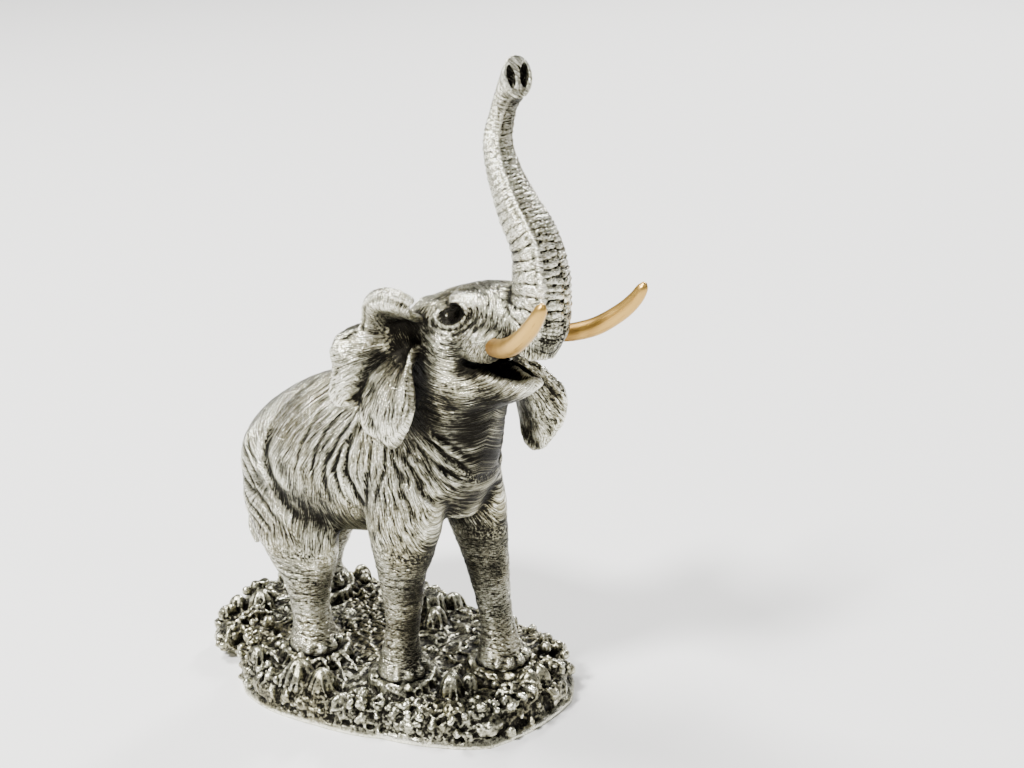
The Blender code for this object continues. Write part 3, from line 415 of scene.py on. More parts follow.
# How strongly each kind of wrinkle is sunk, or for the seams raised
BROAD_WRINKLES, FINE_WRINKLES, RAISED_SEAMS = 0.75, 0.5, 0.3
WRINKLE_WIDTH = 0.24
WRINKLE_WANDER = 0.7
LUMPY_HIDE = 0.30
# The edge where the haunch meets the flank, and where the flank meets the shoulder, as y for each z
HAUNCH_EDGE = [(40, 42), (55, 46), (63, 55), (74, 63), (88, 68), (100, 67), (112, 60), (122, 52)]
SHOULDER_EDGE = [(60, 13), (84, 17), (104, 16), (118, 17), (132, 30)]
HAUNCH_MIDDLE = (62, 80)
SHOULDER_FAN = (12, 152)
SHOULDER_FAN_REACH = 60
FAN_REACH = 26  # where the wrinkles of a haunch or an ear, which fan out, are at their pitch

# The ground's outline, as angle and reach round its own middle, scaled below to the frame's own box
OUTLINE_MIDDLE = (9, 28)
OUTLINE_SAMPLES = 480
OUTLINE = [
    (-172, 56), (-160, 56), (-141, 58), (-131, 63), (-121, 69), (-112, 76), (-106, 80), (-97, 81.5),
    (-82, 84), (-72, 86), (-61, 83), (-56, 80), (-45, 71), (-35, 61), (-10, 49.5), (10, 50),
    (25, 57.5), (47, 59.5), (63, 70), (80, 78), (89, 88), (93, 92), (105, 87), (112, 90), (118, 83),
    (123, 68), (135, 68), (149, 67), (165, 62), (177, 58), (188, 56),
]
GROUND_SIDES = 180
GROUND_LIP = 0.0030
# The ground steps in over its lip and rises to a low dome: share of the reach, then share of the lip's
# height, or for the dome share of the height of the soles
LIP_RINGS = [(1.0, 0.45), (0.99, 0.85), (0.98, 1.15), (0.966, 1.3), (0.964, 2.0)]
GROUND_LEVEL = 0.8
DOME = [(0.955, 0.45), (0.93, 0.68), (0.86, 0.75), (0.6, GROUND_LEVEL), (0.25, GROUND_LEVEL)]
# Patches of stones on the ground, in sculptor's units: x, y, spread, how many, radius
STONES = [
    (-3, 104, 7, 8, 2.2), (46, -36, 7, 8, 2.2), (-27, 66, 4, 4, 2.2), (-40, 72, 7, 6, 2.3),
    (-48, 52, 5, 5, 2.0), (-30, -20, 7, 8, 2.1), (15, 102, 6, 7, 2.4), (48, 60, 7, 7, 2.6),
    (46, 6, 7, 7, 2.5), (2, 20, 6, 4, 1.8), (-2, 62, 6, 5, 1.8), (-4, -48, 7, 7, 2.1),
    (38, -14, 6, 5, 1.9), (-40, 4, 6, 6, 2.0), (33, -42, 6, 7, 2.2), (5, -48, 6, 6, 1.9),
    (-22, -38, 6, 6, 2.2), (26, 66, 6, 6, 2.2), (4, 88, 6, 5, 2.0),
]
# Buds: x, y, height of the middle over the soles, radius, number of ribs
BUDS = [
    (-14, 102, 3, 2.3, 0), (-10, 100, 5, 2.4, 0), (-6, 98, 6, 2.4, 0), (-28, 83, -1, 1.7, 0),
    (-24, 76, 0, 3.0, 4), (44, -34, 0, 3.3, 9), (44, -41, -1, 2.8, 8), (42, -46.5, -2, 2.3, 7),
    (39, -38, 0, 2.6, 8), (-16, 10, -1, 2.2, 0), (-33, 60, -2, 1.9, 0), (-36, 42, 0, 2.0, 5),
    (24, -46, -1, 2.2, 0), (3, -38, -2, 1.8, 0), (34, 70, 0, 2.6, 8), (38, 74, 0, 2.2, 7),
    (-34, 80, -5, 2.2, 8), (13, 106, -1, 2.4, 8), (52, 40, -3, 2.4, 7),
]
# Ribbed tufts: x, y, height of the foot over the soles, number of ribs, radius, height, half width of a rib
TUFTS = [
    (-45, 34, -4, 13, 7.0, 8.5, 0.75), (-43, 22, -4, 15, 5.8, 8.0, 0.60),
    (-11, -25, -4, 13, 5.2, 8.5, 0.60), (-3, -28.5, -4, 10, 3.8, 6.0, 0.55),
    (14, -48, -5, 12, 5.0, 8.0, 0.75), (34, 27, -4, 11, 6.5, 13, 1.10),
    (29, 19, -4, 9, 4.5, 8.0, 0.90), (-11, 95, -3, 12, 6.0, 7.0, 0.80),
    (-19, 89, -4, 10, 4.4, 5.5, 0.70), (-33, 50, -4, 9, 3.6, 5.0, 0.60),
    (30, 90, -4, 12, 4.6, 6.5, 0.80), (47, 24, -4, 10, 4.8, 6.0, 0.80),
    (42, 80, -5, 9, 4.2, 5.5, 0.70), (-44, 62, -5, 10, 4.5, 5.5, 0.70),
    (24, -47, -6, 10, 3.8, 6.0, 0.70), (-17, 105, -6, 10, 4.0, 6.0, 0.80),
    (0, -45, -4, 9, 3.2, 4.0, 0.55),
]
# Long blades that lie over the ground: x, y, length, and the way they point in degrees
LONG_BLADES = [
    (-26, 38, 30, -114), (-30, 38, 27, -118), (-22, 36, 26, -108), (-35, 40, 20, -126),
    (4, -40, 22, -80), (8, -42, 22, -74), (0, -42, 18, -88), (30, -30, 18, 20), (30, 60, 20, 60),
    (12, 84, 20, 30), (-14, 84, 16, 160), (-6, 92, 16, -60), (36, 20, 16, -40), (-40, 60, 14, -110),
    (2, -46, 14, -20),
]
# Open rings: x, y, height over the soles, radius. Pits: x, y, radius, depth
RINGS = [
    (-24, 91, -2.5, 2.8), (-30, 78, -5, 2.2), (-35, -4, -5, 2.4), (-26, -30, -6, 2.2), (23, -38, -6, 2.4),
]
PITS = [
    (-24, 91, 2.2, 2.6), (-22, 71, 2.6, 2.4), (-30, 78, 1.8, 2.0), (-29, 30, 3.0, 2.2),
    (4, -20, 4.0, 1.6), (22, -30, 3.4, 2.2), (-17, 24, 5.0, 1.2), (-1, 50, 5.0, 1.4),
    (-35, -4, 1.8, 2.4), (-26, -30, 1.8, 2.4), (23, -38, 1.8, 2.2), (-38, 14, 3.0, 2.0),
    (8, -40, 3.0, 1.8), (-8, 84, 3.0, 2.0), (30, 8, 3.5, 1.6),
]
# Smooth bulges of the ground's edge: the way out in degrees and the radius in metres
EDGE_LOBES = [
    (118, 0.0085), (137, 0.0060), (157, 0.0078), (178, 0.0055), (-158, 0.0062), (-128, 0.0056),
    (-104, 0.0060), (-76, 0.0064), (-52, 0.0058), (-28, 0.0064), (4, 0.0070), (34, 0.0060),
    (62, 0.0075), (90, 0.0080),
]
LOBE_SHAPE = (0.8, 1.25, 0.72)  # radii as shares: outwards, along the edge, upwards
LOBE_LEVEL = 0.42
# Lumps along the ground's edge: how many, share of the reach, share of the height, radius in metres
EDGE_LUMPS = [(46, 0.90, 0.66, 0.0038), (56, 0.945, 0.42, 0.0030), (64, 0.968, 0.27, 0.0021)]
STONE_HEAP = 0.003  # how much higher the middle stone of a patch lies than the outer ones
BLADE_STEPS = 8
BLADE_SIDES = 8
BLADE_LEAN = math.radians(58)
BLADE_HALF_WIDTH = 0.0009
RIB_STEPS = 10
RING_LUMPS = 18
MOUND_FOOT, MOUND_TOP = 0.011, 0.0035  # how far the earth round a foot reaches beyond the sole
MOUND_SIDES = 48
PEBBLES = 150
PEBBLE_REACH = 0.93
PEBBLE_RADIUS = 1.1
GOLDEN_TURN = math.radians(137.5)
UNDER_SOLE = 0.0003  # the glue line between a sole and the ground
BESIDE_LEG = 0.0009  # how near the earth comes to a leg before it is pressed down
FIGURE_SMOOTHING, GROUND_SMOOTHING = 12, 2
# Lumps of the earth: height, size, seed of their noise. Ridges between them: height, sharpness, size, seed
EARTH_LUMPS = [(1.7, 3.2, 5), (0.8, 1.5, 6)]
EARTH_RIDGES = (0.9, 2.6, 3.6, 7)
MELT_ROUNDS = 50
TUSK_STEPS = 8

# Wear and shade: how much the near and the far stand-out of a casting count, with the rounds each is evened
# over. The far stand-out darkens broad hollows, partly as patina and partly as painted shade
FIGURE_WEAR_AND_SHADE = [(2.4, 3), (1.0, 30)]
GROUND_WEAR_AND_SHADE = [(1.5, 3), (0.7, 25)]
CARVED_WEAR = 0.25
GROUND_PATINA = 0.15
# How much the painted highlights lift the sky value, which paints shade, and how much the painted shade
# spots lower it
PAINTED_HIGHLIGHT_IN_SKY = 0.5
PAINTED_SHADE_IN_SKY = 0.75
# Painted shade, from how open the surroundings are: how many places it is read at, by how many rays, from
# how far over the skin and to what reach
SKY_SAMPLES, SKY_RAYS, SKY_START = 7000, 48, 0.0009
SKY_NEIGHBOURS = 5
SKY_BLEND = 0.0008  # how far over which neighbours count alike
SKY_LEAST_SHARE = 0.02  # what a neighbour that faces another way still counts
FIGURE_SKY_REACH, GROUND_SKY_REACH = 0.045, 0.03

# The metal's noises, as lumps in a metre. The hide's strokes: stretch over its own lines, detail, roughness
METAL_GRAIN, METAL_SPOTS, METAL_PATCHES, METAL_CLOUDS = 2400, 900, 120, 34
STROKES = ((2.6, 1.8, 1.0), 3.0, 0.62)
HAIRS = ((6.5, 3.0, 1.0), 2.0, 0.6)
CROSSINGS = ((1.4, 11.0, 1.0), 2.0, 0.5)
# From where to where the metal passes from patina to silver, to its bright edges, and from painted shade to
# light
SILVER_SPAN, EDGE_SPAN, LIGHT_SPAN = (0.22, 0.80), (0.68, 1.05), (0.15, 0.85)

# Lights: azimuth and elevation in degrees, edge in metres, power in watts
LIGHTS = {
    "key_light": (-98, 50, 0.5, 240),
    "fill_light": (0, 34, 0.6, 14),
    "top_light": (-160, 62, 0.9, 170),
    "rim_light": (105, 32, 0.5, 110),
}
LIGHT_DISTANCE = 3.2
LIT_MIDDLE = (0, 0, 0.14)
FLOOR_REACH = 20


def smoothstep(low, high, value):
    share = np.clip((value - low) / (high - low), 0, 1)
    return share * share * (3 - 2 * share)


def bell(value, half_width, middle=0):
    """1 at the middle of a mound or a groove, falling off over its half width."""
    return np.exp(-(((value - middle) / half_width) ** 2))


def in_frame(x, y, z):
    """A point of the figure, from sculptor's units to metres in the frame."""
    return Vector((x * UNIT, y * UNIT, z * UNIT + FEET_LEVEL))


def in_units(places):
    """Points in metres, as sculptor's units over the soles."""
    return (places - np.array((0, 0, FEET_LEVEL))) / UNIT


def through(rows, steps):
    """Rows read from a smooth curve through the given rows, with so many steps between two of them."""
    rows = np.array(rows, float)
    padded = np.vstack([2 * rows[0] - rows[1], rows, 2 * rows[-1] - rows[-2]])
    found = []
    for a, b, c, d in zip(padded, padded[1:], padded[2:], padded[3:]):
        for t in np.arange(steps) / steps:
            cubic = 3 * b - a - 3 * c + d
            square = 2 * a - 5 * b + 4 * c - d
            found.append(0.5 * (2 * b + (c - a) * t + square * t**2 + cubic * t**3))
    found.append(rows[-1])
    return np.array(found)


def lattice_noise(points, seed):
    """Smooth noise between -1 and 1, read for many points at once; its lumps are one unit apart."""
    cell = np.floor(points).astype(np.int64)
    share = points - cell
    share = share * share * (3 - 2 * share)
    total = np.zeros(len(points))
    for corner in range(8):
        step = np.array([(corner >> axis) & 1 for axis in range(3)])
        at = cell + step
        key = (at[:, 0] * 73856093) ^ (at[:, 1] * 19349663) ^ (at[:, 2] * 83492791) ^ (seed * 668265263)
        key = (key ^ (key >> 13)) * 1274126177
        value = ((key ^ (key >> 16)) & 0xFFFF) / 32767.5 - 1
        total += value * np.prod(np.where(step == 1, share, 1 - share), axis=1)
    return total


def rough(points, seed):
    """Noise with a second layer, twice as fine and half as high."""
    return lattice_noise(points, seed) + lattice_noise(points * 2 + 17.3, seed + 1) / 2


def grooves(across, along, seed):
    """Meandering grooves: 1 in the middle of one, 0 between them."""
    value = lattice_noise(np.stack([across, along, np.full(len(across), 0.37)], axis=1), seed)
    return bell(value, WRINKLE_WIDTH)


def line_place(points, line):
    """The distance of each point from a line of straight pieces, and how far along the line that is."""
    nearest, along = np.full(len(points), 1e9), np.zeros(len(points))
    for i, (a, b) in enumerate(zip(line, line[1:])):
        run = b - a
        share = np.clip(((points - a) @ run) / (run @ run), 0, 1)
        gap = np.linalg.norm(points - a - share[:, None] * run, axis=1)
        along = np.where(gap < nearest, (i + share) / (len(line) - 1), along)
        nearest = np.minimum(nearest, gap)
    return nearest, along


# Bodies


def section(row):
    """The matrix that lays a unit circle on one section of a limb."""
    y1, z1, y2, z2, half_width, x = row[:6]
    high, low = in_frame(x, y1, z1), in_frame(x, y2, z2)
    up, across = (high - low) / 2, Vector((half_width * UNIT, 0, 0))
    along = across.cross(up).normalized() * UNIT
    matrix = Matrix((across, up, along)).transposed().to_4x4()
    matrix.translation = (high + low) / 2
    if len(row) > 6:
        upright = Matrix.Translation(in_frame(0, TRUNK_TURN_Y, 0))
        matrix = upright @ Matrix.Rotation(math.radians(row[6]), 4, "Z") @ upright.inverted() @ matrix
    return matrix


def head_turn():
    """How the head sits on the neck."""
    pivot = Matrix.Translation(in_frame(*HEAD_PIVOT))
    yaw = Matrix.Rotation(math.radians(HEAD_YAW), 4, "Z")
    roll = Matrix.Rotation(math.radians(HEAD_ROLL), 4, "Y")
    return pivot @ yaw @ roll @ pivot.inverted()


def closed_through(bm, rings):
    """A closed body through rings of vertices."""
    loops = [list({e for v in ring for e in v.link_edges}) for ring in rings]
    for loop, following in zip(loops, loops[1:]):
        bmesh.ops.bridge_loops(bm, edges=loop + following)
    for end in (loops[0], loops[-1]):
        bmesh.ops.contextual_create(bm, geom=end)


def skin(bm, matrices, sides):
    """A closed body through rings laid on the given sections."""
    made = [bmesh.ops.create_circle(bm, segments=sides, radius=1, matrix=matrix) for matrix in matrices]
    closed_through(bm, [ring["verts"] for ring in made])


def as_mesh(name, bm):
    """Ends a bmesh: faces outwards, kept as a mesh."""
    bmesh.ops.recalc_face_normals(bm, faces=bm.faces[:])
    mesh = bpy.data.meshes.new(name)
    bm.to_mesh(mesh)
    bm.free()
    return mesh


def finished(thing):
    """The mesh of an object with its modifiers applied; the object itself is removed."""
    bpy.context.scene.collection.objects.link(thing)
    bpy.context.view_layer.update()
    mesh = bpy.data.meshes.new_from_object(thing.evaluated_get(bpy.context.evaluated_depsgraph_get()))
    bpy.data.objects.remove(thing)
    return mesh


def limb(name, rows):
    bm = bmesh.new()
    skin(bm, [section(row) for row in through(rows, STEPS_BETWEEN_STATIONS)], RING_SIDES)
    if name in ("head", "jaw"):
        bmesh.ops.transform(bm, matrix=head_turn(), verts=bm.verts[:])
    return as_mesh(name, bm)


def ball(name, centre, radii, turn=Matrix(), fineness=3):
    """A rounded mass, its centre and radii in sculptor's units."""
    bm = bmesh.new()
    place = turn @ Matrix.Translation(in_frame(*centre)) @ Matrix.Diagonal((*[r * UNIT for r in radii], 1))
    bmesh.ops.create_icosphere(bm, subdivisions=fineness, radius=1, matrix=place)
    return as_mesh(name, bm)


def along_path(points, radii, turn=Matrix()):
    """Matrices that lay rings of the given radii square to a path."""
    matrices = []
    for i, (point, radius) in enumerate(zip(points, radii)):
        way = points[min(i + 1, len(points) - 1)] - points[max(i - 1, 0)]
        lie = way.to_track_quat("Z", "Y").to_matrix().to_4x4()
        matrices.append(turn @ Matrix.Translation(point) @ lie @ Matrix.Scale(radius, 4))
    return matrices


def tusk_sheath(side):
    """The swollen flesh that a tusk grows from."""
    bm = bmesh.new()
    rows = through(TUSK_SHEATH, STEPS_BETWEEN_STATIONS)
    points = [in_frame(side * x, y, z) for y, z, x, _ in rows]
    skin(bm, along_path(points, rows[:, 3] * UNIT, head_turn()), RING_SIDES)
    return as_mesh("tusk_sheath", bm)


def ear_rays(shape):
    """An ear's rim as rays from its root: the angle, reach and lift of each."""
    y, z, lifts = np.array(shape["rim"], float).T
    y, z = y - shape["root"][0], z - shape["root"][1]
    return np.degrees(np.unwrap(np.arctan2(z, y))), np.hypot(y, z), lifts


def ear_height(shape, out, angle):
    """How far an ear's sheet stands from the middle plane, at a share of the way out and an angle."""
    angles, reaches, lifts = ear_rays(shape)
    shares, heights = zip(*shape["profile"])
    rim = np.interp(angle, angles, reaches)
    stand = np.minimum(1, rim / EAR_FULL_REACH) ** 0.7 * (np.interp(out, shares, heights) - heights[0])
    height = heights[0] + stand + np.interp(angle, angles, lifts) * smoothstep(0.15, 0.8, out)
    reach = EAR_ROOT_REACH + out * (rim - EAR_ROOT_REACH)
    ways = np.stack([np.cos(np.radians(angle)), np.sin(np.radians(angle))], axis=-1)
    places = (np.array(shape["root"]) + np.atleast_1d(reach)[:, None] * np.atleast_2d(ways)).reshape(-1, 2)
    for amount, half_width, line in shape["pleats"]:
        gap, _ = line_place(places, through(line, 3))
        height = height + (amount * bell(gap, half_width)).reshape(np.shape(height))
    return height


def ear(shape):
    """An ear: a grid laid out from the root to the rim, then given its thickness."""
    bm = bmesh.new()
    bmesh.ops.create_grid(bm, x_segments=EAR_STEPS[0], y_segments=EAR_STEPS[1], size=1)
    angles, reaches, _ = ear_rays(shape)
    out = np.array([(v.co.x + 1) / 2 for v in bm.verts])
    angle = np.interp([v.co.y for v in bm.verts], (-1, 1), (angles[0], angles[-1]))
    reach = EAR_ROOT_REACH + out * (np.interp(angle, angles, reaches) - EAR_ROOT_REACH)
    xs = shape["side"] * ear_height(shape, out, angle)
    ys = shape["root"][0] + reach * np.cos(np.radians(angle))
    zs = shape["root"][1] + reach * np.sin(np.radians(angle))
    for v, place in zip(bm.verts, zip(xs, ys, zs)):
        v.co = in_frame(*place)
    sheet = bpy.data.objects.new("ear", as_mesh("ear", bm))
    wall = sheet.modifiers.new("Thickness", "SOLIDIFY")
    wall.thickness = EAR_THICKNESS * UNIT
    wall.offset = 0
    return finished(sheet)


def toenails(leg):
    """Nails round the front of one foot."""
    front, _, rear, _, half_width, x = leg[-2]
    middle, half_length = (front + rear) / 2, (rear - front) / 2
    for angle in TOENAIL_ANGLES:
        turn = math.radians(angle)
        across = x + NAIL_REACH * half_width * math.sin(turn)
        along = middle - NAIL_REACH * half_length * math.cos(turn)
        yield ball("toenail", (across, along, NAIL_LEVEL), NAIL_RADII)


def head_hollows():
    """What is taken out of the figure: the mouth, the nostrils and the sockets of the tusks."""
    yield limb("head", MOUTH_GAP)
    for side in (1, -1):
        yield limb("head", [(*row[:5], side * row[5]) for row in MOUTH_BOWL])
    (across, up), (half_width, half_height) = NOSTRIL
    for side in (-1, 1):
        lean = Matrix.Rotation(math.radians(side * NOSTRIL_LEAN), 4, "Z")
        place = section(TRUNK[-1]) @ Matrix.Translation((side * across, up, 0)) @ lean
        bm = bmesh.new()
        shape = Matrix.Diagonal((half_width, half_height, NOSTRIL_DEPTH, 1))
        bmesh.ops.create_icosphere(bm, subdivisions=3, radius=1, matrix=place @ shape)
        yield as_mesh("nostril", bm)
        yield ball("socket", (side * SOCKET_MOUTH[0], *SOCKET_MOUTH[1:]), (SOCKET_RADIUS,) * 3, head_turn())


def fused(name, meshes, voxel, smoothing, hollows=()):
    """Overlapping closed meshes made one skin and softened, with the hollows taken out of it."""
    bm = bmesh.new()
    for mesh in meshes:
        bm.from_mesh(mesh)
        bpy.data.meshes.remove(mesh)
    joined = bpy.data.meshes.new(name)
    bm.to_mesh(joined)
    bm.free()
    thing = bpy.data.objects.new(name, joined)
    remesh = thing.modifiers.new("Fuse", "REMESH")
    remesh.mode = "VOXEL"
    remesh.voxel_size = voxel
    soft = thing.modifiers.new("Blend", "SMOOTH")
    soft.factor = 0.5
    soft.iterations = smoothing
    cutters = []
    for hollow in hollows:
        cutter = bpy.data.objects.new(hollow.name, hollow)
        bpy.context.scene.collection.objects.link(cutter)
        taking = thing.modifiers.new(hollow.name, "BOOLEAN")
        taking.operation = "DIFFERENCE"
        taking.solver = "MANIFOLD"
        taking.object = cutter
        cutters.append(cutter)
    mesh = finished(thing)
    for cutter in cutters:
        bpy.data.objects.remove(cutter)
    return mesh


def thinned(name, mesh, triangles):
    """The same skin carried by fewer triangles."""
    thing = bpy.data.objects.new(name, mesh)
    mesh.calc_loop_triangles()
    fewer = thing.modifiers.new("Thin", "DECIMATE")
    fewer.ratio = min(1, triangles / len(mesh.loop_triangles))
    fewer.use_collapse_triangulate = True
    return finished(thing)


def cut_flat(mesh, height):
    """Cuts away what lies below a height and closes the cut with a flat face."""
    bm = bmesh.new()
    bm.from_mesh(mesh)
    everything = bm.verts[:] + bm.edges[:] + bm.faces[:]
    level = Vector((0, 0, height))
    bmesh.ops.bisect_plane(
        bm, geom=everything, plane_co=level, plane_no=(0, 0, 1), clear_inner=True, dist=1e-6)
    caps = bmesh.ops.holes_fill(bm, edges=[e for e in bm.edges if e.is_boundary], sides=0)
    bmesh.ops.triangulate(bm, faces=caps["faces"])
    bmesh.ops.recalc_face_normals(bm, faces=bm.faces[:])
    bm.to_mesh(mesh)
    bm.free()


def read(mesh, what):
    """The places or normals of a mesh's points."""
    found = np.zeros(len(mesh.vertices) * 3)
    mesh.vertices.foreach_get(what, found)
    return found.reshape(-1, 3)


def write_places(mesh, places):
    mesh.vertices.foreach_set("co", places.ravel())
    mesh.update()


# Relief of the hide


def trunk_place(points):
    """Where points lie on the trunk: ridge count along it, angle round it, share of the way out, station."""
    rows = through(TRUNK, STEPS_BETWEEN_STATIONS)
    front, rear = rows[:, 0:2], rows[:, 2:4]
    middle = (front + rear) / 2
    half = np.linalg.norm(front - rear, axis=1) / 2
    steps = np.linalg.norm(np.diff(middle, axis=0), axis=1)
    pitch = RIDGE_PITCH_SHARE * (half[1:] + half[:-1]) / 2
    phase = np.concatenate([[0], np.cumsum(steps / pitch)])
    at = np.linalg.norm(points[:, None, 1:3] - middle[None], axis=2).argmin(axis=1)
    way = np.gradient(middle, axis=0)
    way /= np.linalg.norm(way, axis=1)[:, None]
    offset = points[:, 1:3] - middle[at]
    count = phase[at] + (offset * way[at]).sum(axis=1) / pitch[np.minimum(at, len(pitch) - 1)]
    under = (offset * (front - rear)[at]).sum(axis=1) / (2 * half[at])
    share = np.hypot(points[:, 0], np.linalg.norm(offset, axis=1)) / half[at]
    return count, np.degrees(np.arctan2(points[:, 0], under)), share, at, half[at]


def trunk_relief(points):
    """Ridges, welts and slits of the trunk, as heights over its skin."""
    count, turn, share, at, half = trunk_place(points)
    angle = np.abs(turn)
    count = count + RIDGE_WANDER * lattice_noise(points / 5.0, 3)
    face = 1 - smoothstep(WELT_ANGLE - 12, WELT_ANGLE - 5, angle)
    flank = smoothstep(WELT_ANGLE + 6, WELT_ANGLE + 14, angle) * (1 - smoothstep(128, 165, angle))
    flank *= 0.45 + 0.55 * smoothstep(-0.3, 0.4, lattice_noise(points / 8.0, 8))
    column = np.where(turn > 0, 0.45, 0) * (1 - smoothstep(18, 30, at))
    gap = np.abs((2 * count + column) % 1 - 0.5) * -1 + 0.5
    valley = bell(gap, RIDGE_VALLEY)
    split = bell(angle + 2 * lattice_noise(points / 2.5, 5), RIDGE_SPLIT) * (1 - smoothstep(24, 34, at))
    slit_gap = 0.5 - np.abs((1.15 * count + turn / 260 * np.sign(turn)) % 1 - 0.5)
    slit = bell(slit_gap, 0.06 + 0.10 * smoothstep(60, 110, angle))
    swell, often = WELT_KNOTS
    welt = bell(angle, WELT_HALF_WIDTH, WELT_ANGLE) * (1 + swell * np.cos(math.tau * often * count))
    beads = np.maximum(0, lattice_noise(points / 1.3, 9)) * smoothstep(42, 50, at) * face
    height = welt * WELT_HEIGHT - face * RIDGE_DEPTH * (0.85 * valley + 0.5 * split) + BEAD_HEIGHT * beads
    height -= flank * FLANK_SLIT_SHARE * RIDGE_DEPTH * slit
    size = np.clip(half / 12, SLIM_TRUNK_RELIEF, 1)
    near = 1 - smoothstep(1.15, 1.5, share)
    last = len(TRUNK) * STEPS_BETWEEN_STATIONS
    along = smoothstep(2, 8, at) * (1 - smoothstep(last - 14, last - 9, at))
    return height * size * near * along


def leg_place(points, rows):
    """Where points lie round an upright limb: share of the way out, angle round it, half width."""
    rows = np.array(rows[::-1], float)
    levels = (rows[:, 1] + rows[:, 3]) / 2
    front, rear, half, x = (np.interp(points[:, 2], levels, rows[:, column]) for column in (0, 2, 4, 5))
    across = (points[:, 0] - x) / half
    along = (points[:, 1] - (front + rear) / 2) / ((rear - front) / 2)
    return np.hypot(across, along), np.arctan2(across, -along), half


def ear_place(points, shape):
    """Where points lie on an ear: share of the way out, angle, reach, and distance from the ear's sheet."""
    angles, reaches, _ = ear_rays(shape)
    y, z = points[:, 1] - shape["root"][0], points[:, 2] - shape["root"][1]
    reach = np.hypot(y, z)
    angle = (np.degrees(np.arctan2(z, y)) - angles[0] + 20) % 360 + angles[0] - 20
    rim = np.interp(angle, angles, reaches)
    out = (reach - EAR_ROOT_REACH) / (rim - EAR_ROOT_REACH)
    gap = shape["side"] * points[:, 0] - ear_height(shape, np.clip(out, 0, 1), angle)
    return out, angle, reach, gap


def on_sheet(gap):
    """1 on the skin of an ear's sheet, 0 clear of it."""
    return smoothstep(4.6, 3.2, np.abs(gap))


def eye_distance(points):
    """Distance of each point from the nearer eye, and the angle round it in the side view."""
    turn = head_turn()
    nearest, angle = np.full(len(points), 1e9), np.zeros(len(points))
    for side in (-1, 1):
        eye = in_units(np.array(turn @ in_frame(side * EYE[0], *EYE[1:])))
        gap = np.linalg.norm(points - eye, axis=1)
        closer = gap < nearest
        round_it = np.arctan2(points[:, 2] - eye[2], eye[1] - points[:, 1])
        nearest, angle = np.where(closer, gap, nearest), np.where(closer, round_it, angle)
    return nearest, angle


def eye_almond(points):
    """The nearer eye's almond, which is 1 on its edge, the height over its long line, and the distance."""
    gap, angle = eye_distance(points)
    turn = angle - math.radians(EYE_TILT)
    high = gap * np.sin(turn)
    return np.hypot(gap * np.cos(turn) / EYE_SIZE[0], high / EYE_SIZE[1]), high, gap


def regions(points):
    """For each region of the hide: its weight at each point, and the way across and along its wrinkles."""
    x, y, z = points.T
    left = np.ones(len(points))
    found = {}

    def claim(name, cover, across, along):
        nonlocal left
        weight = left * cover
        left = left - weight
        if name in found:
            before, across_before, along_before = found[name]
            mine = weight > before
            across, along = np.where(mine, across, across_before), np.where(mine, along, along_before)
            weight = before + weight
        found[name] = (weight, across, along)

    for shape in (RIGHT_EAR, LEFT_EAR):
        out, angle, reach, gap = ear_place(points, shape)
        cover = on_sheet(gap) * smoothstep(1.25, 1.1, out) * smoothstep(6, 12, reach)
        claim("ear", cover, np.radians(angle) * FAN_REACH, reach)
    count, turn, share, at, half = trunk_place(points)
    cover = smoothstep(1.55, 1.25, share) * smoothstep(4, 8, at) * smoothstep(150, 158, z)
    claim("trunk", cover, count * 4, np.radians(turn) * half)
    for legs, low, high in ((FORELEGS, 56, 72), (HIND_LEGS, 40, 54)):
        for leg in legs:
            out, angle, half = leg_place(points, leg)
            cover = smoothstep(1.6, 1.25, out) * smoothstep(high, low, z)
            claim("leg", cover, z + 0.7 * np.sin(angle * 2), angle * half)
    out, angle, half = leg_place(points, TAIL)
    cover = smoothstep(2.0, 1.5, out) * smoothstep(84, 88, y) * smoothstep(100, 96, z)
    claim("tail", cover, angle * 3 + 0.15 * z, z)
    gap, angle = eye_distance(points)
    claim("head", smoothstep(-3, 3, 0.46 * (z - 148) - 0.83 * (y + 10)), gap, angle * 14)
    haunch = y - np.interp(z, *zip(*HAUNCH_EDGE))
    angle = np.arctan2(z - HAUNCH_MIDDLE[1], y - HAUNCH_MIDDLE[0])
    reach = np.hypot(y - HAUNCH_MIDDLE[0], z - HAUNCH_MIDDLE[1])
    claim("haunch", smoothstep(-2.5, 2.5, haunch), angle * FAN_REACH, reach)
    shoulder = y - np.interp(z, *zip(*SHOULDER_EDGE))
    angle = np.arctan2(y - SHOULDER_FAN[0], SHOULDER_FAN[1] - z)
    reach = np.hypot(y - SHOULDER_FAN[0], SHOULDER_FAN[1] - z)
    claim("shoulder", smoothstep(3, -3, shoulder), angle * SHOULDER_FAN_REACH, reach)
    claim("torso", 1.0, y + 0.0095 * np.maximum(z - 68, 0) ** 2, z + 0.4 * np.abs(x))
    return found


def hide_relief(points):
    """Height of the carving at each point, and the coordinates that its finest wrinkles follow."""
    height = LUMPY_HIDE * rough(points / 11.0, 40)
    flow = np.zeros((len(points), 3))
    strongest = np.zeros(len(points))
    for i, (name, (weight, across, along)) in enumerate(regions(points).items()):
        pitch, run, depth = WRINKLES[name]
        here = weight > 0.01
        a, b = across[here] / pitch, along[here] / run
        a = a + WRINKLE_WANDER * lattice_noise(points[here] / 7.5, 60 + i)
        carved = BROAD_WRINKLES * grooves(a, b, i)
        carved += FINE_WRINKLES * grooves(1.9 * a, 1.7 * b, 20 + i)
        carved -= RAISED_SEAMS * grooves(a + 0.5, b, 30 + i)
        height[here] -= depth * weight[here] * carved
        lead = weight[here] > strongest[here]
        chosen = np.flatnonzero(here)[lead]
        flow[chosen] = np.stack([a[lead], b[lead], np.full(lead.sum(), 5.0 * i)], axis=1)
        strongest[chosen] = weight[chosen]
    return height, flow, smoothstep(0.6, 0.92, strongest)


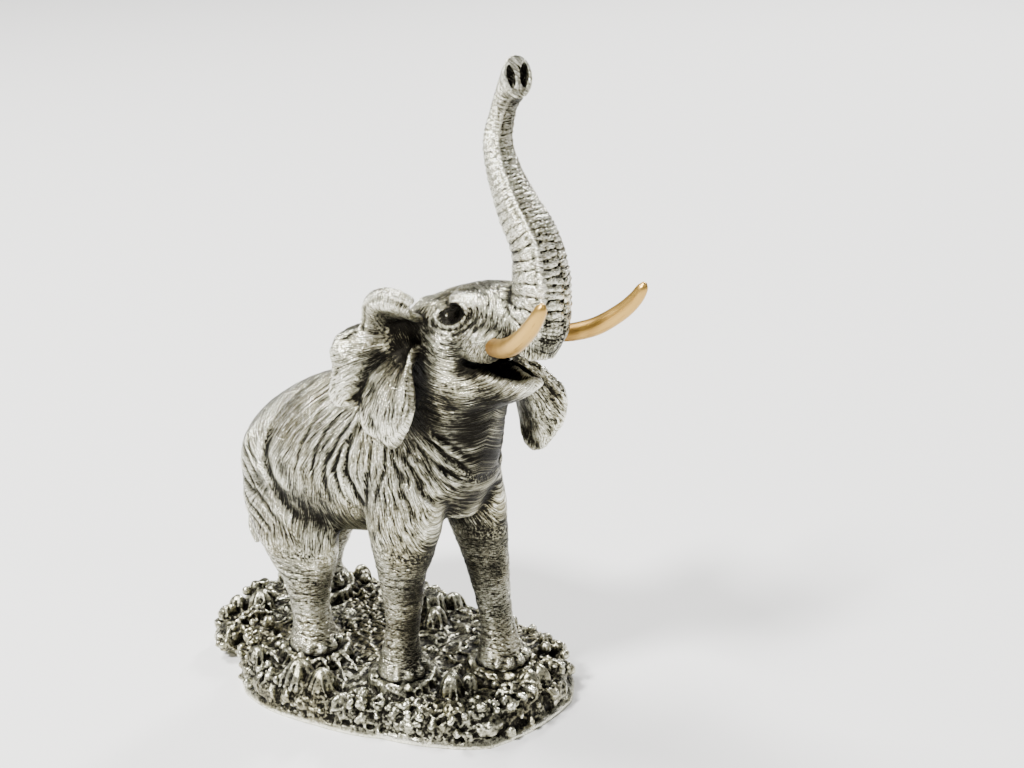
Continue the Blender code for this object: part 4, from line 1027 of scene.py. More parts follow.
def fold_relief(points):
    """Deep folds, the rings worn into the legs, the eyes, and the ridges of the ears."""
    height = np.zeros(len(points))
    wander = 0.8 * lattice_noise(points / 6.0, 80)
    sway = np.stack([wander, 0.8 * lattice_noise(points / 6.0, 82)], axis=1)
    swell = 1 + 0.5 * lattice_noise(points / 9.0, 81)
    lowest, highest = FOLD_LEVELS
    near = (np.abs(points[:, 0]) > 5) & (points[:, 2] < highest) & (points[:, 2] > lowest)
    on_side = smoothstep(5, 14, np.abs(points[near, 0])) * swell[near]
    for shape in (RIGHT_EAR, LEFT_EAR):
        out, _, _, gap = ear_place(points[near], shape)
        on_side *= 1 - smoothstep(6, 4, np.abs(gap)) * smoothstep(1.25, 1.1, out)
    flank = points[near, 1:3] + sway[near] + np.where(points[near, :1] > 0, FOLDS_LEFT, (0, 0))
    lip_share, lip_place = FOLD_LIP
    for half_width, depth, line in FOLDS:
        gap, along = line_place(flank, through(line, 4))
        fade = FOLD_DEPTH * on_side * depth * smoothstep(0, 0.2, along) * smoothstep(1, 0.75, along)
        height[near] -= fade * bell(gap, half_width)
        height[near] += lip_share * fade * bell(gap, half_width, lip_place * half_width)
    tops = [FORELEG_RINGS_TOP] * len(FORELEGS) + [HIND_RINGS_TOP] * len(HIND_LEGS)
    for leg, top in zip(LEGS, tops):
        out, angle, _ = leg_place(points, leg)
        on_leg = smoothstep(1.5, 1.2, out) * smoothstep(top + 6, top - 6, points[:, 2])
        for i, ring in enumerate(LEG_RINGS):
            level = points[:, 2] - ring + 0.6 * np.sin(angle + i) + 0.8 * wander
            reach = smoothstep(-0.5, 0.2, np.cos(angle - 2.1 * i))
            height -= on_leg * reach * LEG_RING_DEPTH * bell(level, LEG_RING_HALF_WIDTH)
    almond, high, _ = eye_almond(points)
    for ring, half_width, rise in LID_RINGS:
        height += rise * bell(almond, half_width, ring)
    for ring, half_width, rise in POUCH_RINGS:
        height += rise * smoothstep(0.8, -1.2, high) * bell(almond, half_width, ring)
    for shape in (RIGHT_EAR, LEFT_EAR):
        out, _, _, gap = ear_place(points, shape)
        rim, hollow = (rise * bell(out, EAR_RIM_HALF_WIDTH, place) for rise, place in (EAR_RIM, EAR_HOLLOW))
        height += on_sheet(gap) * (gap > 0) * (rim - hollow)
    return height


def carving(points):
    """Height of all the carving, and the coordinates and cover of the finest wrinkles."""
    wrinkles, flow, cover = hide_relief(points)
    carved = wrinkles + fold_relief(points)
    high = points[:, 2] > 150
    carved[high] += trunk_relief(points[high])
    return carved, flow, cover


def melted(mesh):
    """Softens the joins of the body and the face, and leaves the thin parts, the lips and the eyes alone."""
    places = read(mesh, "co")
    points = in_units(places)
    found = regions(points)
    body = sum(found[name][0] for name in ("torso", "haunch", "shoulder"))
    y, z = points[:, 1], points[:, 2]
    lips = smoothstep(-33, -37, y) * smoothstep(7, 4, np.abs(z - LIPS_LEVEL))
    eyes = smoothstep(12, 8, eye_distance(points)[0])
    face = smoothstep(0.6, 0.95, found["head"][0]) * smoothstep(-62, -56, y)
    body = smoothstep(0.3, 0.9, body) + 0.85 * face * (1 - np.maximum(lips, eyes))
    soft = evened(places, edge_ends(mesh), MELT_ROUNDS)
    write_places(mesh, places + body[:, None] * (soft - places))


# Wear, painted shade and painted highlights, kept on the mesh for its finish


def blotted(points, rows):
    """Soft patches on both sides, the strongest at each point."""
    found = np.zeros(len(points))
    for strength, reach, place in rows:
        offset = np.stack([np.abs(points[:, 0]), points[:, 1], points[:, 2]], axis=1) - place
        found = np.maximum(found, strength * bell(np.linalg.norm(offset, axis=1), reach))
    return found


def painted_shade_and_patina(points):
    """Painted shade at the listed places on the hide, and the dark patina in the eyes, whose middle is left
    bright as a painted highlight.
    """
    almond, _, gap = eye_almond(points)
    # the eye's patina is kept off its middle, which paints a highlight there
    eyes = EYE_PATINA * smoothstep(1.6, 1.3, almond) * smoothstep(0.5, 0.9, gap)
    return np.maximum(blotted(points, PAINTED_SHADE_SPOTS), eyes)


def edge_ends(mesh):
    ends = np.zeros(len(mesh.edges) * 2, np.int32)
    mesh.edges.foreach_get("vertices", ends)
    return ends.reshape(-1, 2)


def evened(values, ends, rounds):
    """Values spread to their neighbours over the mesh, so many times."""
    both = np.concatenate([ends[:, 0], ends[:, 1]])
    other = np.concatenate([ends[:, 1], ends[:, 0]])
    count = np.maximum(1, np.bincount(both, minlength=len(values)))
    for _ in range(rounds):
        columns = [np.bincount(both, column[other], len(values)) / count for column in values.T]
        values = 0.4 * values + 0.6 * np.stack(columns, axis=1)
    return values


def standing_out(mesh, wear):
    """How far each point stands out of the evened skin, in sculptor's units, near and far added up."""
    places, normals, ends = read(mesh, "co"), read(mesh, "normal"), edge_ends(mesh)
    return sum(
        weight * (((places - evened(places, ends, rounds)) * normals).sum(axis=1) / UNIT)
        for weight, rounds in wear)


def open_sky(mesh, other, reach):
    """How open the surroundings of each point are: 1 in the open, 0 in a deep hollow; the finish paints
    shade by it.
    """
    sparse = thinned("sparse", mesh.copy(), 2 * SKY_SAMPLES)
    stopping = bmesh.new()
    stopping.from_mesh(sparse)
    stopping.from_mesh(other)
    tree = BVHTree.FromBMesh(stopping)
    stopping.free()
    ways = []
    for i in range(SKY_RAYS):
        up = math.sqrt((i + 0.5) / SKY_RAYS)
        flat = math.sqrt(1 - up * up)
        ways.append(Vector((flat * math.cos(i * GOLDEN_TURN), flat * math.sin(i * GOLDEN_TURN), up)))
    known, tops, seen = KDTree(len(sparse.vertices)), [], []
    for v in sparse.vertices:
        turn = v.normal.to_track_quat("Z", "Y")
        start = v.co + v.normal * SKY_START
        free = sum(tree.ray_cast(start, turn @ way, reach)[0] is None for way in ways)
        known.insert(v.co, v.index)
        tops.append(v.normal.copy())
        seen.append(free / SKY_RAYS)
    known.balance()
    found = np.zeros(len(mesh.vertices))
    for v in mesh.vertices:
        total = weight = 0.0
        for place, index, gap in known.find_n(v.co, SKY_NEIGHBOURS):
            share = max(SKY_LEAST_SHARE, v.normal.dot(tops[index])) / (gap + SKY_BLEND) ** 2
            total += share * seen[index]
            weight += share
        found[v.index] = total / weight
    bpy.data.meshes.remove(sparse)
    return found


def keep(mesh, name, values):
    """Keeps a number or a vector for each point of a mesh, for its material."""
    kind = "FLOAT_VECTOR" if values.ndim > 1 else "FLOAT"
    attribute = mesh.attributes.new(name, kind, "POINT")
    attribute.data.foreach_set("vector" if values.ndim > 1 else "value", values.astype(np.float32).ravel())


def figure_skin(voxel):
    """The whole elephant without its relief: every mass fused into one skin."""
    masses = [limb(name, rows) for name, rows in LIMBS.items()]
    masses += [ear(RIGHT_EAR), ear(LEFT_EAR)]
    for side in (-1, 1):
        masses.append(tusk_sheath(side))
        for name, (centre, radii) in HEAD_MASSES.items():
            masses.append(ball(name, (side * centre[0], *centre[1:]), radii, head_turn()))
    for leg in LEGS:
        masses += toenails(leg)
    mesh = fused("elephant_cast", masses, voxel, FIGURE_SMOOTHING, head_hollows())
    melted(mesh)
    return mesh


# Ground


def outline_point(angle):
    """A point of the ground's outline: the free shape, stretched to the frame's own ground."""
    angles, reaches = zip(*OUTLINE)
    turns = np.radians(np.linspace(angles[0], angles[-1], OUTLINE_SAMPLES))
    spread = np.interp(np.degrees(turns), angles, reaches)
    xs = OUTLINE_MIDDLE[0] + spread * np.cos(turns)
    ys = OUTLINE_MIDDLE[1] + spread * np.sin(turns)
    reach = np.interp((angle - angles[0]) % 360 + angles[0], angles, reaches)
    x = OUTLINE_MIDDLE[0] + reach * math.cos(math.radians(angle))
    y = OUTLINE_MIDDLE[1] + reach * math.sin(math.radians(angle))
    return Vector((np.interp(x, (xs.min(), xs.max()), (GROUND_LOW.x, GROUND_HIGH.x)),
                   np.interp(y, (ys.min(), ys.max()), (GROUND_LOW.y, GROUND_HIGH.y)), 0))


def feet():
    """Middle, half width and half length of each sole, in metres."""
    found = []
    for leg in LEGS:
        front, _, rear, _, half_width, x = leg[-2]
        found.append((x * UNIT, (front + rear) / 2 * UNIT, half_width * UNIT, (rear - front) / 2 * UNIT))
    return found


def ground_middle():
    stance = feet()
    return Vector((sum(x for x, *_ in stance) / len(stance), sum(y for _, y, *_ in stance) / len(stance), 0))


def ground_slab():
    """The body of the base: the outline carried up over a thin lip to a low domed top."""
    bm = bmesh.new()
    middle = ground_middle()
    levels = [(1.0, -0.1 * FEET_LEVEL)]
    levels += [(share, height * GROUND_LIP) for share, height in LIP_RINGS]
    levels += [(share, height * FEET_LEVEL) for share, height in DOME]
    rings = []
    for share, height in levels:
        ring = bmesh.ops.create_circle(bm, segments=GROUND_SIDES, radius=1)["verts"]
        for i, v in enumerate(ring):
            v.co = middle + (outline_point(360 * i / GROUND_SIDES) - middle) * share
            v.co.z = height
        rings.append(ring)
    closed_through(bm, rings)
    return as_mesh("ground", bm)


def stone(place, radii, turn, fineness=2):
    bm = bmesh.new()
    shape = Matrix.Translation(place) @ Matrix.Rotation(turn, 4, "Z") @ Matrix.Diagonal((*radii, 1))
    bmesh.ops.create_icosphere(bm, subdivisions=fineness, radius=1, matrix=shape)
    return as_mesh("stone", bm)


def bud(place, radius, ribs):
    """A round bud, ribbed from its top to its foot."""
    bm = bmesh.new()
    bmesh.ops.create_icosphere(bm, subdivisions=4, radius=radius)
    for v in bm.verts:
        flat = math.hypot(v.co.x, v.co.y) / radius
        v.co *= 1 + 0.16 * min(1, 2 * flat) * math.cos(ribs * math.atan2(v.co.y, v.co.x)) * (ribs > 0)
        v.co += place
    return as_mesh("bud", bm)


def blade(root, length, turn):
    """One blade of grass: a slim body along an arc that leans out and droops."""
    points, radii, place = [], [], root.copy()
    for i in range(BLADE_STEPS + 1):
        share = i / BLADE_STEPS
        pitch = BLADE_LEAN + BLADE_LEAN * share
        way = Vector((math.sin(pitch) * math.cos(turn), math.sin(pitch) * math.sin(turn), math.cos(pitch)))
        points.append(place.copy())
        radii.append(BLADE_HALF_WIDTH * (1 - 0.6 * share**2))
        place += way * length / BLADE_STEPS
    bm = bmesh.new()
    skin(bm, along_path(points, radii), BLADE_SIDES)
    return as_mesh("blade", bm)


def tuft(x, y, z, count, radius, height, width):
    """A solid dome with ribs from its top down to its foot, and a bud on top."""
    yield ball("dome", (x, y, z), (radius - 0.4 * width, radius - 0.4 * width, height - 0.6 * width))
    yield ball("bud", (x, y, z + height), (0.26 * radius, 0.26 * radius, 1.3 * width), fineness=2)
    for i in range(count):
        turn = math.tau * (i + 0.22 * math.sin(4.1 * i + x)) / count
        spread = radius * (1 + 0.10 * math.sin(2.3 * i + y))
        points, radii = [], []
        for share in np.linspace(0, 1, RIB_STEPS):
            fall = math.radians(12 + 92 * share)
            out = spread * math.sin(fall) * (1 + 0.22 * share**3)
            bend = turn + 0.18 * math.sin(3 * share + i)
            level = z + height * math.cos(fall)
            points.append(in_frame(x + out * math.cos(bend), y + out * math.sin(bend), level))
            radii.append(width * (1.15 - 0.45 * share) * UNIT)
        bm = bmesh.new()
        skin(bm, along_path(points, radii), BLADE_SIDES)
        yield as_mesh("rib", bm)


def open_ring(x, y, z, radius):
    """A low ring round a pit."""
    bm = bmesh.new()
    for i in range(RING_LUMPS):
        turn = math.tau * i / RING_LUMPS
        level = z + 0.4 * math.sin(2 * turn)
        place = in_frame(x + radius * math.cos(turn), y + radius * math.sin(turn), level)
        shape = Matrix.Translation(place) @ Matrix.Scale((0.85 + 0.2 * math.sin(3 * turn)) * UNIT, 4)
        bmesh.ops.create_icosphere(bm, subdivisions=2, radius=1, matrix=shape)
    return as_mesh("ring", bm)


def scattered(x, y, spread, count):
    """Places spread evenly in a round patch, with each one's share of the way out and its turn."""
    for i in range(count):
        share, turn = math.sqrt((i + 0.5) / count), i * GOLDEN_TURN
        middle = Vector((x * UNIT, y * UNIT, 0))
        yield middle + Vector((math.cos(turn), math.sin(turn), 0)) * spread * UNIT * share, share, turn


def foot_mound(x, y, half_width, half_length):
    """Earth pressed up round one foot."""
    bm = bmesh.new()
    stretch = Matrix.Diagonal((1, half_length / half_width, 1, 1))
    bmesh.ops.create_cone(
        bm, cap_ends=True, segments=MOUND_SIDES, depth=1.02 * FEET_LEVEL,
        radius1=half_width + MOUND_FOOT, radius2=half_width + MOUND_TOP,
        matrix=Matrix.Translation((x, y, 0.5 * FEET_LEVEL)) @ stretch)
    return as_mesh("mound", bm)


def ground_pieces():
    """Everything that is fused into the ground."""
    middle = ground_middle()
    level = GROUND_LEVEL * FEET_LEVEL
    yield ground_slab()
    for foot in feet():
        yield foot_mound(*foot)
    for x, y, spread, count, radius in STONES:
        for i, (place, share, turn) in enumerate(scattered(x, y, spread, count)):
            place.z = level + (0.5 - share) * STONE_HEAP
            size = radius * UNIT * (1.2 - 0.4 * share)
            yield stone(place, (size, size * (0.8 + 0.2 * math.sin(3.7 * i)), 0.9 * size), turn)
    for x, y, z, radius, ribs in BUDS:
        yield bud(in_frame(x, y, z), radius * UNIT, ribs)
    for row in TUFTS:
        yield from tuft(*row)
    for row in RINGS:
        yield open_ring(*row)
    for x, y, length, heading in LONG_BLADES:
        root = Vector((x * UNIT, y * UNIT, level + 0.001))
        yield blade(root, length * UNIT, math.radians(heading))
    for angle, radius in EDGE_LOBES:
        edge = outline_point(angle)
        place = middle + (edge - middle) * (1 - LOBE_SHAPE[0] * radius / (edge - middle).length)
        place.z = LOBE_LEVEL * FEET_LEVEL
        yield stone(place, [share * radius for share in LOBE_SHAPE], math.radians(angle), 4)
    for count, reach, height, radius in EDGE_LUMPS:
        for i in range(count):
            edge = outline_point(360 * (i + 0.45 * math.sin(5.1 * i)) / count)
            place = middle + (edge - middle) * (reach - 0.022 * math.sin(2.7 * i))
            place.z = FEET_LEVEL * (height + 0.11 * math.sin(1.9 * i))
            size = radius * (1 + 0.42 * math.sin(3.3 * i))
            turn = math.atan2(edge.y, edge.x) + 0.8 * math.sin(i)
            yield stone(place, (size, 0.6 * size, 0.85 * size), turn)
    for i in range(PEBBLES):
        share = math.sqrt((i + 0.5) / PEBBLES)
        edge = outline_point(math.degrees(i * GOLDEN_TURN))
        place = middle + (edge - middle) * PEBBLE_REACH * share
        place.z = FEET_LEVEL * np.interp(PEBBLE_REACH * share, *zip(*sorted(DOME)))
        size = PEBBLE_RADIUS * UNIT * (1 + 0.5 * math.sin(7.1 * i))
        yield stone(place, (size, 0.8 * size, 0.8 * size), i, 1)


def earth_relief(points):
    """Lumps parted by creases, ridges round pits, and crumbs of the earth, in sculptor's units."""
    kind = smoothstep(-0.2, 0.25, lattice_noise(points / 12.0, 31))
    bent = points + 1.2 * np.stack([lattice_noise(points / 5.0, seed) for seed in (32, 33, 34)], axis=1)
    lumps = sum(rise * np.abs(lattice_noise(bent / size, seed)) for rise, size, seed in EARTH_LUMPS) - 0.8
    rise, sharpness, size, seed = EARTH_RIDGES
    ridges = rise * np.maximum(1 - sharpness * np.abs(lattice_noise(bent / size, seed)), -0.35) - 0.3
    crumbs = np.maximum(0, lattice_noise(points / 1.2, 21)) ** 1.5
    height = kind * lumps + (1 - kind) * ridges + 0.4 * crumbs + 0.3 * rough(points / 6.0, 25)
    for x, y, z, _, radius, _, _ in TUFTS:
        gap = np.hypot(points[:, 0] - x, points[:, 1] - y) / radius
        height *= 1 - 0.85 * smoothstep(1.35, 1.1, gap) * (points[:, 2] > z)
    for x, y, z, radius, _ in BUDS:
        height *= 1 - 0.8 * smoothstep(1.5, 1.2, np.linalg.norm(points - (x, y, z), axis=1) / radius)
    return height


def sunk_pits(places):
    """The earth let down into its pits."""
    for x, y, radius, depth in PITS:
        gap = np.hypot(places[:, 0] / UNIT - x, places[:, 1] / UNIT - y)
        places[:, 2] -= depth * UNIT * np.exp(-((gap / radius) ** 4)) * (places[:, 2] > 0.4 * FEET_LEVEL)
    return places


def pressed_by_feet(places, standing):
    """The earth kept under each sole and just clear of the legs."""
    body = bmesh.new()
    body.from_mesh(standing)
    tree = BVHTree.FromBMesh(body)
    body.free()
    low = FEET_LEVEL - UNDER_SOLE
    for i in np.flatnonzero(places[:, 2] > low):
        place = Vector(places[i])
        nearest, normal, _, gap = tree.find_nearest(place)
        if gap < BESIDE_LEG or (place - nearest).dot(normal) < 0:
            places[i, 2] = low
    return places


def kept_within(mesh, low, high):
    """No point outside a box of the frame."""
    write_places(mesh, np.clip(read(mesh, "co"), tuple(low), tuple(high)))


# Finishes


class Wire:
    """A value in a material: arithmetic on it adds Math nodes."""

    def __init__(self, finish, socket):
        self.finish = finish
        self.socket = socket

    def __add__(self, other):
        return self.finish.math("ADD", self, other)

    def __sub__(self, other):
        return self.finish.math("SUBTRACT", self, other)

    def __rsub__(self, other):
        return self.finish.math("SUBTRACT", other, self)

    def __mul__(self, other):
        return self.finish.math("MULTIPLY", self, other)

    __radd__ = __add__
    __rmul__ = __mul__


class Finish:
    """One material, built node by node."""

    def __init__(self, name):
        self.material = bpy.data.materials.new(name)
        self.material.use_nodes = True
        self.tree = self.material.node_tree
        self.shader = self.tree.nodes["Principled BSDF"]

    def node(self, kind, settings, inputs, output=0):
        """Adds a node: its settings first, then the values or wires of its sockets."""
        made = self.tree.nodes.new(kind)
        for name, value in settings.items():
            setattr(made, name, value)
        for key, value in inputs.items():
            self.feed(made.inputs[key], value)
        return Wire(self, made.outputs[output])

    def feed(self, socket, value):
        if isinstance(value, Wire):
            self.tree.links.new(value.socket, socket)
        else:
            socket.default_value = value

    def math(self, operation, *values):
        return self.node("ShaderNodeMath", {"operation": operation}, dict(enumerate(values)))

    def step(self, low, high, value):
        """0 below low, 1 above high, smooth between them."""
        settings = {"interpolation_type": "SMOOTHSTEP"}
        return self.node("ShaderNodeMapRange", settings, {"Value": value, "From Min": low, "From Max": high})

    def mix(self, share, first, second):
        """A colour between two colours."""
        return self.node("ShaderNodeMix", {"data_type": "RGBA"}, {0: share, 6: first, 7: second}, 2)

    def scaled(self, vector, scale):
        return self.node("ShaderNodeVectorMath", {"operation": "MULTIPLY"}, {0: vector, 1: scale})

    def noise(self, vector, scale, detail=2.0, roughness=0.5):
        values = {"Vector": vector, "Scale": scale, "Detail": detail, "Roughness": roughness}
        return self.node("ShaderNodeTexNoise", {}, values)

    def places(self):
        return self.node("ShaderNodeTexCoord", {}, {}, "Object")

    def attribute(self, name, output="Fac"):
        return self.node("ShaderNodeAttribute", {"attribute_name": name}, {}, output)

    def set(self, **sockets):
        """Feeds the shader's own sockets; underscores stand for spaces."""
        for name, value in sockets.items():
            self.feed(self.shader.inputs[name.replace("_", " ")], value)
        return self.material

    def raised(self, height, distance, strength):
        values = {"Height": height, "Distance": distance, "Strength": strength}
        return self.node("ShaderNodeBump", {}, values)


def rgb(colour):
    return (*colour, 1.0)


def antique_metal(name, colours, wrinkled):
    """Metal rubbed bright on what stands out, and near-black where the patina stays; painted shade darkens
    it where its surroundings are closed.
    """
    finish = Finish(name)
    bright, pale, deep, tint = colours.silver, colours.silver_edge, colours.patina, colours.silver_tint
    places = finish.places()
    worn_and_painted_light, sky = finish.attribute("worn_and_painted_light"), finish.attribute("sky")
    grain = finish.noise(places, METAL_GRAIN, 2.0)
    spots = finish.noise(places, METAL_SPOTS, 3.0, 0.6)
    if wrinkled:
        flow, cover = finish.attribute("flow", "Vector"), finish.attribute("flow_cover")
        strokes, hairs, crossing = (
            finish.noise(finish.scaled(flow, stretch), 1.0, detail, roughness)
            for stretch, detail, roughness in (STROKES, HAIRS, CROSSINGS))
        relief = 1.5 * (strokes - 0.5) + 0.9 * (hairs - 0.5) + 0.5 * (crossing - 0.5)
        relief = cover * relief + (1 - cover) * 1.6 * (spots - 0.5)
    else:
        relief = 0.8 * (spots - 0.5)
    cloud = finish.noise(places, METAL_CLOUDS, 3.0)
    patches = finish.noise(places, METAL_PATCHES, 3.0)
    rubbed = worn_and_painted_light + 1.5 * relief + 0.4 * (patches - 0.5) + 0.3 * (grain - 0.5)
    # Painted shade: where the sky value is low, the silver and its bright edges give way to the patina
    # colour
    light = finish.step(*LIGHT_SPAN, sky + 0.15 * (cloud - 0.5))
    kept = finish.step(*SILVER_SPAN, rubbed) * (0.04 + 0.96 * light)
    # The brightest edges are drybrushed silver kept only where open to the light, so partly a painted
    # highlight
    edge = finish.step(*EDGE_SPAN, rubbed) * light
    metal = finish.mix(finish.step(0.38, 0.66, cloud), rgb(bright), rgb(tint))
    colour = finish.mix(edge, finish.mix(kept, rgb(deep), metal), rgb(pale))
    return finish.set(
        Base_Color=colour,
        Metallic=1.0,
        Roughness=0.46 - 0.18 * kept - 0.06 * edge + 0.12 * (patches - 0.5),
        Normal=finish.raised(relief + 0.15 * grain, 0.0003, 1.0),
    )


def antique_gold(bright, deep):
    """Satin gold, browned towards the root and rubbed pale at the tip."""
    finish = Finish("antique_gold")
    places = finish.places()
    along = finish.attribute("along")
    streak = finish.attribute("flow", "Vector")
    lines = finish.noise(finish.scaled(streak, (7.0, 0.5, 7.0)), 1.0, 3.0)
    patches = finish.noise(places, 160, 3.0)
    brown = finish.step(0.55, 0.05, along + 0.45 * (patches - 0.5)) * 0.85
    brown = finish.math("MAXIMUM", brown, 0.55 * finish.step(0.60, 0.72, lines))
    colour = finish.mix(brown, rgb(bright), rgb(deep))
    return finish.set(
        Base_Color=colour,
        Metallic=0.85,
        Roughness=0.34 + 0.22 * brown + 0.12 * (patches - 0.5),
        Normal=finish.raised(lines, 0.0002, 0.5),
    )


def pale_floor():
    finish = Finish("pale_floor")
    return finish.set(Base_Color=rgb((0.82, 0.81, 0.79)), Roughness=0.75)


# Settings that a user would change


def length_setting(name, description, default):
    return bpy.props.FloatProperty(
        name=name, description=description, default=default, unit="LENGTH", precision=5)


def count_setting(name, description, default):
    return bpy.props.IntProperty(name=name, description=description, default=default)


def angle_setting(name, description, degrees):
    return bpy.props.FloatProperty(
        name=name, description=description, default=math.radians(degrees), subtype="ANGLE")


def colour_setting(name, description, default):
    return bpy.props.FloatVectorProperty(
        name=name, description=description, default=default, subtype="COLOR", size=3)


class CastingSettings(bpy.types.PropertyGroup):
    figure_voxel: length_setting("Figure fineness", "Size of the cells that the figure is fused in", 0.00062)
    figure_triangles: count_setting(
        "Figure triangles", "How many triangles carry the finished figure", 196000)
    relief: bpy.props.FloatProperty(
        name="Relief", description="How deep the hide is carved, as a share of the drawn depth", default=1.0)
    ground_voxel: length_setting("Ground fineness", "Size of the cells that the ground is fused in", 0.00060)
    ground_triangles: count_setting(
        "Ground triangles", "How many triangles carry the finished ground", 190000)
    tusk_diameter: length_setting("Tusk diameter", "Across the root of a tusk", 0.0078)


class FinishSettings(bpy.types.PropertyGroup):
    silver: colour_setting("Silver", "The rubbed silver", (0.41, 0.40, 0.295))
    # The edges' pale silver is drybrushed silver, and also a painted highlight where it is open to the light
    silver_edge: colour_setting("Silver edges", "The edges rubbed brightest", (0.95, 0.94, 0.80))
    silver_tint: colour_setting("Silver tint", "Its warmer patches", (0.33, 0.305, 0.195))
    # The patina colour also fills the painted shade
    patina: colour_setting("Patina", "What stays in the hollows", (0.010, 0.009, 0.007))
    gold: colour_setting("Gold", "The tusks", (0.56, 0.34, 0.085))
    gold_deep: colour_setting("Browned gold", "The tusks' roots", (0.16, 0.075, 0.015))


class StageSettings(bpy.types.PropertyGroup):
    camera_place: bpy.props.FloatVectorProperty(
        name="Camera", description="Where the camera stands", default=(-0.4595, -0.4219, 0.3947),
        unit="LENGTH")
    camera_turn: angle_setting("Turn", "Which way the camera looks, from straight ahead", -51.01)
    camera_rise: angle_setting("Rise", "How far the camera looks down", 21.45)
    lens: bpy.props.FloatProperty(name="Lens", description="Focal length in millimetres", default=56.25)
    room: bpy.props.FloatProperty(
        name="Room light", description="Strength of the plain surroundings", default=0.13)


def bring_in(name, mesh, material, node):
    """Adds a finished piece that stands for a node of the frame."""
    mesh.materials.clear()
    mesh.materials.append(material)
    mesh.shade_smooth()
    piece = bpy.data.objects.new(name, mesh)
    bpy.context.scene.collection.objects.link(piece)
    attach(piece, "root")
    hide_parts(node)
    return piece


class STATUETTE_OT_elephant(bpy.types.Operator):
    """Cast the elephant: body, head, ears, trunk, legs and tail in one"""

    bl_idname = "statuette.elephant"
    bl_label = "Cast elephant"

    def execute(self, context):
        casting, colours = context.scene.casting, context.scene.finishes
        mesh = figure_skin(casting.figure_voxel)
        places, normals = read(mesh, "co"), read(mesh, "normal")
        carved, _, _ = carving(in_units(places))
        places += normals * (carved * casting.relief * UNIT)[:, None]
        write_places(mesh, places)
        mesh = thinned("elephant_cast", mesh, casting.figure_triangles)
        cut_flat(mesh, FEET_LEVEL)
        kept_within(mesh, *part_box("elephant"))
        points = in_units(read(mesh, "co"))
        carved, flow, cover = carving(points)
        # Wear of the antique finish, with the painted highlights added and the painted shade spots taken off
        painted_highlight, dark = blotted(points, PAINTED_HIGHLIGHTS), painted_shade_and_patina(points)
        worn_and_painted_light = 0.5 + 0.5 * np.tanh(standing_out(mesh, FIGURE_WEAR_AND_SHADE) + CARVED_WEAR * carved + painted_highlight)
        keep(mesh, "worn_and_painted_light", worn_and_painted_light * (1 - dark))
        # Painted shade: the sky value darkens the finish where the surroundings are closed
        sky = open_sky(mesh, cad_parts["ground_base"].data, FIGURE_SKY_REACH)
        keep(mesh, "sky", (sky + PAINTED_HIGHLIGHT_IN_SKY * painted_highlight * (1 - sky)) * (1 - PAINTED_SHADE_IN_SKY * dark))
        keep(mesh, "flow", flow)
        keep(mesh, "flow_cover", cover)
        silver = antique_metal("antique_silver", colours, True)
        bring_in("elephant_cast", mesh, silver, "elephant")
        return {"FINISHED"}


class STATUETTE_OT_ground(bpy.types.Operator):
    """Cast the piece of ground with its stones, tufts and buds"""

    bl_idname = "statuette.ground"
    bl_label = "Cast ground"

    def execute(self, context):
        casting, colours = context.scene.casting, context.scene.finishes
        mesh = fused("ground_cast", ground_pieces(), casting.ground_voxel, GROUND_SMOOTHING)
        places, normals = read(mesh, "co"), read(mesh, "normal")
        above = smoothstep(0.6 * GROUND_LIP, 1.4 * GROUND_LIP, places[:, 2])
        places += normals * (above * earth_relief(in_units(places)) * UNIT)[:, None]
        standing = bpy.data.objects.get("elephant_cast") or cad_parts["elephant"]
        write_places(mesh, pressed_by_feet(sunk_pits(places), standing.data))
        cut_flat(mesh, 0)
        mesh = thinned("ground_cast", mesh, casting.ground_triangles)
        kept_within(mesh, GROUND_LOW, GROUND_HIGH)
        keep(mesh, "worn_and_painted_light", 0.5 + 0.5 * np.tanh(standing_out(mesh, GROUND_WEAR_AND_SHADE) - GROUND_PATINA))
        # Painted shade on the ground, from how open its surroundings are
        keep(mesh, "sky", open_sky(mesh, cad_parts["elephant"].data, GROUND_SKY_REACH))
        silver = antique_metal("dark_silver", colours, False)
        bring_in("ground_cast", mesh, silver, "ground_base")
        return {"FINISHED"}


class STATUETTE_OT_tusks(bpy.types.Operator):
    """Cast the two tusks and set them in their sockets"""

    bl_idname = "statuette.tusks"
    bl_label = "Cast tusks"

    def execute(self, context):
        casting, colours = context.scene.casting, context.scene.finishes
        gold = antique_gold(colours.gold, colours.gold_deep)
        rows = through(TUSK, TUSK_STEPS)
        for side, word in ((-1, "right"), (1, "left")):
            points = [in_frame(side * x, y, z) for x, y, z, _ in rows]
            bm = bmesh.new()
            radii = rows[:, 3] * casting.tusk_diameter / 2
            skin(bm, along_path(points, radii, head_turn()), RING_SIDES)
            mesh = as_mesh(f"tusk_{word}_cast", bm)
            line = np.array([head_turn() @ point for point in points])
            places = read(mesh, "co")
            at = np.linalg.norm(places[:, None] - line[None], axis=2).argmin(axis=1)
            offset = (places - line[at]) / (casting.tusk_diameter / 2)
            kept_within(mesh, *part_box(f"tusk_{word}"))
            keep(mesh, "along", at / (len(rows) - 1))
            keep(mesh, "flow", np.stack([offset[:, 0], at / TUSK_STEPS, offset[:, 2]], axis=1))
            bring_in(f"tusk_{word}_cast", mesh, gold, f"tusk_{word}")
        return {"FINISHED"}


